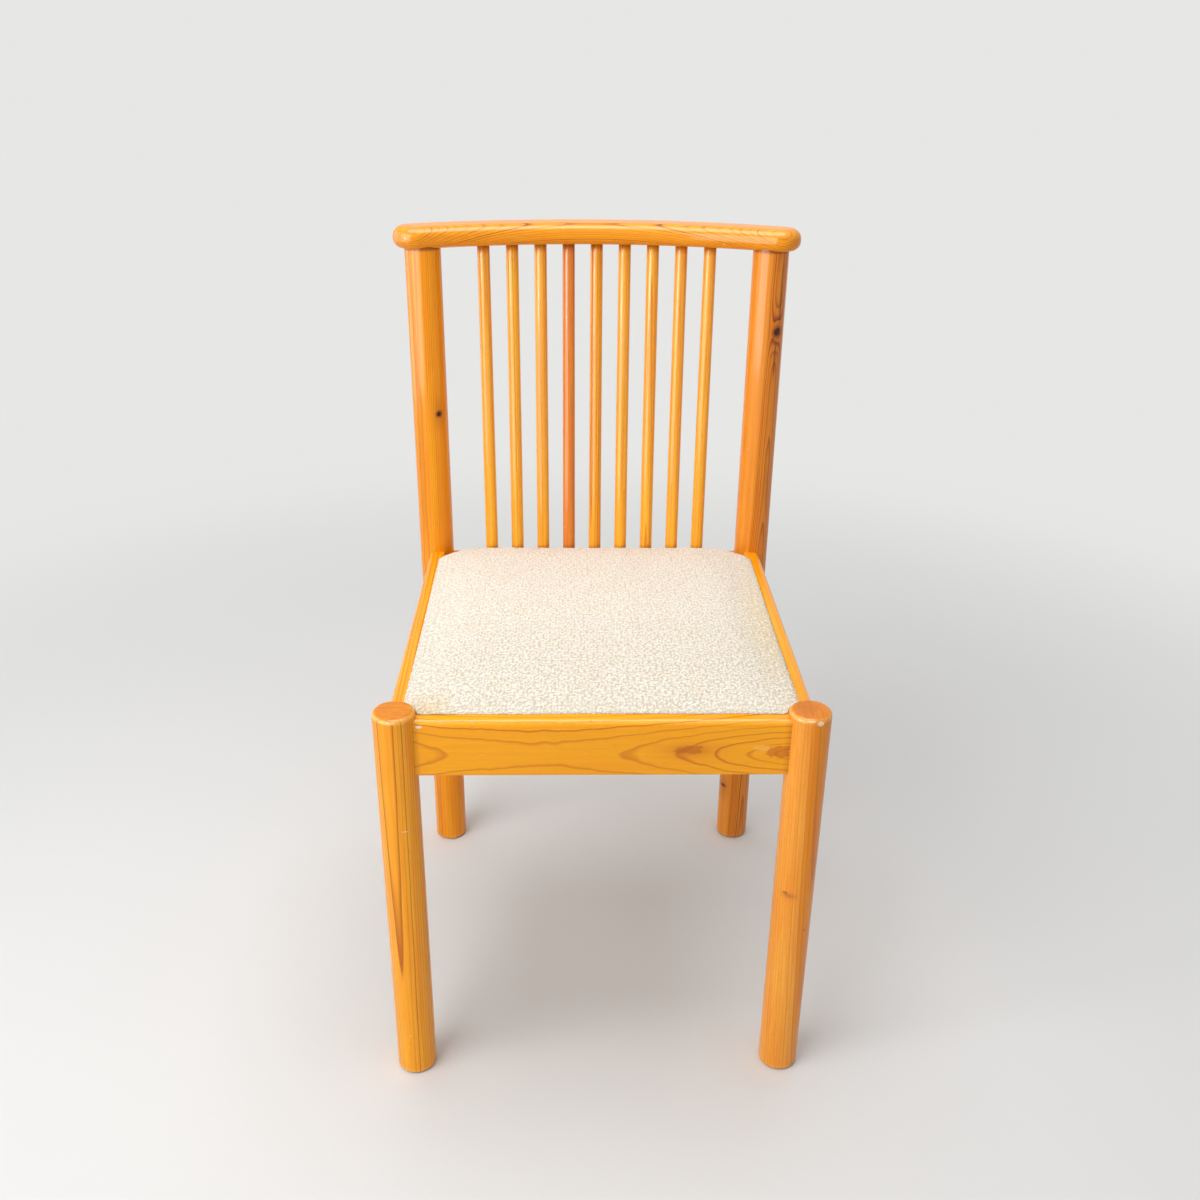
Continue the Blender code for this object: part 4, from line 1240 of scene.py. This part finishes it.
def easedSkin(name, nodeName):
    # a copy of the node's mesh with its sharp edges eased
    look = easeLook
    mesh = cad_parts[nodeName].data.copy()
    mesh.name = name
    work = bmesh.new()
    work.from_mesh(mesh)
    bmesh.ops.remove_doubles(work, verts=work.verts, dist=1e-5)
    bmesh.ops.dissolve_limit(work, angle_limit=0.002, verts=work.verts, edges=work.edges)
    sharp = [edge for edge in work.edges
             if edge.is_manifold and edge.calc_face_angle() > look["sharpAngle"]]
    bmesh.ops.bevel(work, geom=sharp, offset=look["width"], segments=look["segments"], affect="EDGES",
                    profile=0.5)
    bmesh.ops.triangulate(work, faces=[face for face in work.faces if len(face.verts) > 4])
    bmesh.ops.recalc_face_normals(work, faces=work.faces)
    work.to_mesh(mesh)
    work.free()
    mesh.shade_smooth()
    mesh.set_sharp_from_angle(angle=look["sharpAngle"])
    return mesh


plywoodLook = {
    "face": linear(214, 178, 130),
    "late": linear(176, 132, 84),
    "fibre": linear(196, 156, 108),
    "glueLine": linear(140, 96, 58),
    "ply": 0.0024,
}


def plywoodFace(name):
    # quiet rotary-cut veneer on the faces, and bands of plies where the side shows
    look = plywoodLook
    material, tree, shader = newMaterial(name)
    place = put(tree, "TexCoord").outputs["Object"]
    lines = calc(tree, "FRACT", times(tree, stretchedNoise(tree, place, (9, 2.2, 9), 3.0), 26.0))
    fibre = stretchedNoise(tree, place, (900, 20, 900), 3.0)
    colour = layOver(tree, look["face"], look["late"], ramp(tree, lines, 0.4, 0.95), 0.45)
    colour = layOver(tree, colour, look["fibre"], ramp(tree, fibre, 0.4, 0.65), 0.4)
    ply = calc(tree, "FRACT", times(tree, axesOf(tree, place)[2], 1 / look["ply"]))
    upright = axesOf(tree, put(tree, "NewGeometry").outputs["Normal"])[2]
    onSide = ramp(tree, calc(tree, "ABSOLUTE", upright), 0.5, 0.2)
    colour = layOver(tree, colour, look["glueLine"], ramp(tree, ply, 0.45, 0.55), onSide)
    feed(tree, shader, {"Base Color": colour, "Roughness": timesPlus(tree, fibre, 0.2, 0.55),
                        "Specular IOR Level": 0.2, "Normal": bumpOf(tree, fibre, 0.35, 0.0003)})
    return material


blockTones = {"early": linear(236, 196, 138), "late": linear(198, 140, 78), "fibre": linear(226, 182, 122),
              "duct": linear(160, 112, 64), "endGrain": linear(206, 158, 98)}
addPiece("seat_board_eased", easedSkin("seat_board_eased", "seat_board"), plywoodFace("seat_plywood"),
         ("seat_board",))
blockWood = varnishedPine("block_pine", {"pith": (0.03, -0.02, 0.36), "turn": alongX, "ringWidth": 0.0032,
                                         "lateTone": 0.6}, blockTones, finish=bareWood)
for corner in ("front_left", "front_right", "back_left", "back_right"):
    nodeName = "corner_block_" + corner
    mesh = easedSkin(nodeName + "_eased", nodeName)
    addPiece(nodeName + "_eased", mesh, blockWood, (nodeName,))

screwLook = {
    "around": 36,
    "headRadius": 0.0038,
    "headHeight": 0.0022,
    "dome": 0.0016,          # height of the head's round
    "shank": 0.0015,
    "thread": 0.0004,
    "pitch": 0.0016,
    "plain": 0.006,          # smooth shank under the head
    "point": 0.005,
    "crossWidth": 0.0010,
    "crossLength": 0.0042,
    "crossDepth": 0.0011,
}


def screwSkin(name, nodeName):
    # A pan-head screw turned about its own line. The thread is a ridge that climbs one pitch a
    # turn, and the cross is pressed into the head.
    look = screwLook
    (one, other), points = nodeAxis(nodeName)
    middle = (one + other) / 2
    along = (other - one) / np.linalg.norm(other - one)
    away = points - middle
    wide = np.linalg.norm(away - (away @ along)[:, None] * along, axis=1) > 0.8 * look["headRadius"]
    if (away[wide] @ along).mean() < 0:
        along = -along
    reach = away @ along
    top, tip = reach.max(), reach.min()
    under = top - look["headHeight"]
    turn = np.linspace(0, math.pi / 2, 9)
    face = np.linspace(0.02, 0.62, 22) * look["headRadius"]
    domed = look["headRadius"] * (0.62 + 0.38 * np.sin(turn[1:]))
    radii = [face, domed, (look["headRadius"] * 0.98, look["shank"] + 0.0002)]
    levels = [np.full(len(face), top), top - (1 - np.cos(turn[1:])) * look["dome"], (under, under)]
    thread = np.arange(under - 0.0002, tip, -look["pitch"] / 8)
    radii.append(look["shank"] * np.clip((thread - tip) / look["point"], 0.03, 1))
    levels.append(thread)
    radii, levels = np.concatenate(radii), np.concatenate(levels)
    angle = np.linspace(0, 2 * math.pi, look["around"], endpoint=False)
    phase = (levels[:, None] / look["pitch"] + angle / (2 * math.pi)) % 1
    ridge = smoothStep(0.28, 0.0, np.abs(phase - 0.5)) * look["thread"]
    onThread = smoothStep(under - look["plain"], under - look["plain"] - 0.001, levels)
    radius = radii[:, None] + ridge * (onThread * (radii < look["shank"] * 1.01))[:, None]
    across, beside = radius * np.cos(angle), radius * np.sin(angle)
    arms = []
    for wideSide, longSide in ((across, beside), (beside, across)):
        arms.append(smoothStep(look["crossWidth"] * 0.6, look["crossWidth"] * 0.4, np.abs(wideSide))
                    * smoothStep(look["crossLength"] * 0.5, look["crossLength"] * 0.42, np.abs(longSide)))
    sunk = np.maximum(*arms) * look["crossDepth"] * (levels > under + 0.0002)[:, None]
    depth = levels[:, None] - sunk
    side = np.cross(along, (0.3, 0.5, 0.8))
    side /= np.linalg.norm(side)
    third = np.cross(along, side)
    rings = middle + across[..., None] * side + beside[..., None] * third + depth[..., None] * along
    mesh = closedSkin(name, rings)
    mesh.set_sharp_from_angle(angle=math.radians(50))
    return mesh


for nodeName in sorted(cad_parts):
    if "screw" in nodeName:
        mesh = screwSkin(nodeName + "_turned", nodeName)
        addPiece(nodeName + "_turned", mesh, steel, (nodeName,))
print("board, blocks and screws done")


# Camera, as it stood for the photograph

cameraLook = {
    "place": (-0.033055, -1.263475, 1.059473),
    "pitch": 0.4396516,
    "yaw": 0.0281788,
    "roll": -0.0123626,
    "focalPixels": 1206.064,
    "imagePixels": 1200,
    "sensor": 36.0,
}


def addCamera():
    look = cameraLook
    pitch, yaw, roll = look["pitch"], look["yaw"], look["roll"]
    forward = Vector((math.sin(yaw) * math.cos(pitch), math.cos(yaw) * math.cos(pitch), -math.sin(pitch)))
    right = Vector((math.cos(yaw), -math.sin(yaw), 0.0))
    down = forward.cross(right)
    rolledRight = math.cos(roll) * right + math.sin(roll) * down
    rolledDown = -math.sin(roll) * right + math.cos(roll) * down
    data = bpy.data.cameras.new("camera")
    data.sensor_fit = "HORIZONTAL"
    data.sensor_width = look["sensor"]
    data.lens = look["sensor"] * look["focalPixels"] / look["imagePixels"]
    data.clip_start = 0.05
    camera = bpy.data.objects.new("camera", data)
    turn = Matrix((rolledRight, -rolledDown, -forward)).transposed().to_4x4()
    camera.matrix_world = Matrix.Translation(look["place"]) @ turn
    bpy.context.scene.collection.objects.link(camera)
    bpy.context.scene.camera = camera


addCamera()


# Studio: a pale floor that runs out into the backdrop's colour, soft lamps, a dim surround a little brighter
# from the left

studioLook = {
    "backdrop": (0.80, 0.80, 0.79, 1.0),
    "floor": (0.73, 0.73, 0.72, 1.0),
    "floorRadius": 9.0,
    "fadeStart": 0.6,
    "fadeEnd": 2.0,
    "surround": (0.38, 0.50),    # from the right side and from the left
    "surroundTint": (0.97, 0.98, 1.0, 1.0),
}
lampLook = {
    "window": {"place": (-1.5, -1.4, 1.75), "aim": (0.0, 0.0, 0.5), "size": (2.0, 1.6), "power": 38.5,
               "seenBy": "diffuse"},
    "glint": {"place": (-1.55, -1.5, 1.05), "aim": (0.0, 0.0, 0.55), "size": (2.2, 2.2), "power": 96.0,
              "seenBy": "glossy"},
    "leftWall": {"place": (-2.3, 0.2, 0.95), "aim": (0.0, 0.0, 0.6), "size": (2.6, 2.0), "power": 42.0,
                 "seenBy": "glossy"},
    "spark": {"place": (-1.66, -1.30, 0.80), "aim": (0.0, 0.1, 0.80), "size": (0.34, 0.38), "power": 13.0,
              "seenBy": "glossy"},
    "overhead": {"place": (0.0, 0.1, 2.6), "aim": (0.0, 0.0, 0.4), "size": (2.0, 2.0), "power": 31.5,
                 "seenBy": "diffuse"},
    "strip": {"place": (0.0, -0.2, 2.4), "aim": (0.0, 0.0, 0.4), "size": (1.5, 1.1), "power": 44.0,
              "seenBy": "glossy"},
}


def seesBackdrop(tree):
    # 1 for the camera's own rays and for those that gloss or glass sends on, and 0 for lighting
    rays = put(tree, "LightPath").outputs
    return calc(tree, "MAXIMUM", rays["Is Camera Ray"],
                calc(tree, "MAXIMUM", rays["Is Glossy Ray"], rays["Is Transmission Ray"]))


def floorDisc(name):
    # rings of points round the middle of the floor, further apart towards the rim
    around = np.linspace(0, 2 * math.pi, 128, endpoint=False)
    radii = np.array((0.2, 0.8, 1.6, 2.6, 4.0, studioLook["floorRadius"]))
    rim = np.stack((np.cos(around), np.sin(around), np.zeros(len(around))), axis=-1)
    points = np.vstack(((radii[:, None, None] * rim).reshape(-1, 3), (0.0, 0.0, 0.0)))
    rows = np.arange(len(radii) - 1)[:, None] * len(around)
    outer = rows + len(around)
    here = np.arange(len(around))[None, :]
    there = (here + 1) % len(around)
    quads = np.stack((rows + here, outer + here, outer + there, rows + there), axis=-1)
    fan = np.stack((np.full(len(around), len(points) - 1), here[0], there[0]), axis=-1)
    mesh = bpy.data.meshes.new(name)
    mesh.from_pydata(points.tolist(), [], quads.reshape(-1, 4).tolist() + fan.tolist())
    return mesh


def addFloor():
    # plain and matt near the chair, and the backdrop's own colour further out
    look = studioLook
    material, tree, shader = newMaterial("floor")
    feed(tree, shader, {"Base Color": look["floor"], "Roughness": 0.8, "Specular IOR Level": 0.0})
    reach = vectorCalc(tree, "LENGTH", put(tree, "TexCoord").outputs["Object"])
    fade = ramp(tree, reach, look["fadeStart"], look["fadeEnd"])
    glow = put(tree, "Emission", {"Color": look["backdrop"], "Strength": 1.0}).outputs[0]
    mixed = put(tree, "MixShader", {0: times(tree, fade, seesBackdrop(tree)), 1: shader.outputs[0], 2: glow})
    tree.links.new(mixed.outputs[0], tree.nodes["Material Output"].inputs["Surface"])
    floor = bpy.data.objects.new("floor", floorDisc("floor"))
    floor.data.materials.append(material)
    bpy.context.scene.collection.objects.link(floor)


def addWorld():
    look = studioLook
    world = bpy.data.worlds.new("studio")
    bpy.context.scene.world = world
    world.use_nodes = True
    tree = world.node_tree
    tree.nodes.clear()
    heading = axesOf(tree, put(tree, "TexCoord").outputs["Generated"])
    soft = ramp(tree, heading[0], 0.6, -0.6, *look["surround"])
    dim = put(tree, "Background", {"Color": look["surroundTint"], "Strength": soft}).outputs[0]
    shown = put(tree, "Background", {"Color": look["backdrop"], "Strength": 1.0}).outputs[0]
    mixed = put(tree, "MixShader", {0: seesBackdrop(tree), 1: dim, 2: shown}).outputs[0]
    put(tree, "OutputWorld", {"Surface": mixed})


def addLamp(name, lamp):
    data = bpy.data.lights.new(name, "AREA")
    data.shape = "RECTANGLE"
    data.size, data.size_y = lamp["size"]
    data.energy = lamp["power"]
    item = bpy.data.objects.new(name, data)
    item.location = lamp["place"]
    aim = Vector(lamp["aim"]) - Vector(lamp["place"])
    item.rotation_euler = aim.to_track_quat("-Z", "Y").to_euler()
    item.visible_diffuse = lamp["seenBy"] == "diffuse"
    item.visible_glossy = lamp["seenBy"] == "glossy"
    bpy.context.scene.collection.objects.link(item)


addFloor()
addWorld()
for name, lamp in lampLook.items():
    addLamp(name, lamp)
print("studio lit")
bpy.context.scene.view_settings.view_transform = "Standard"
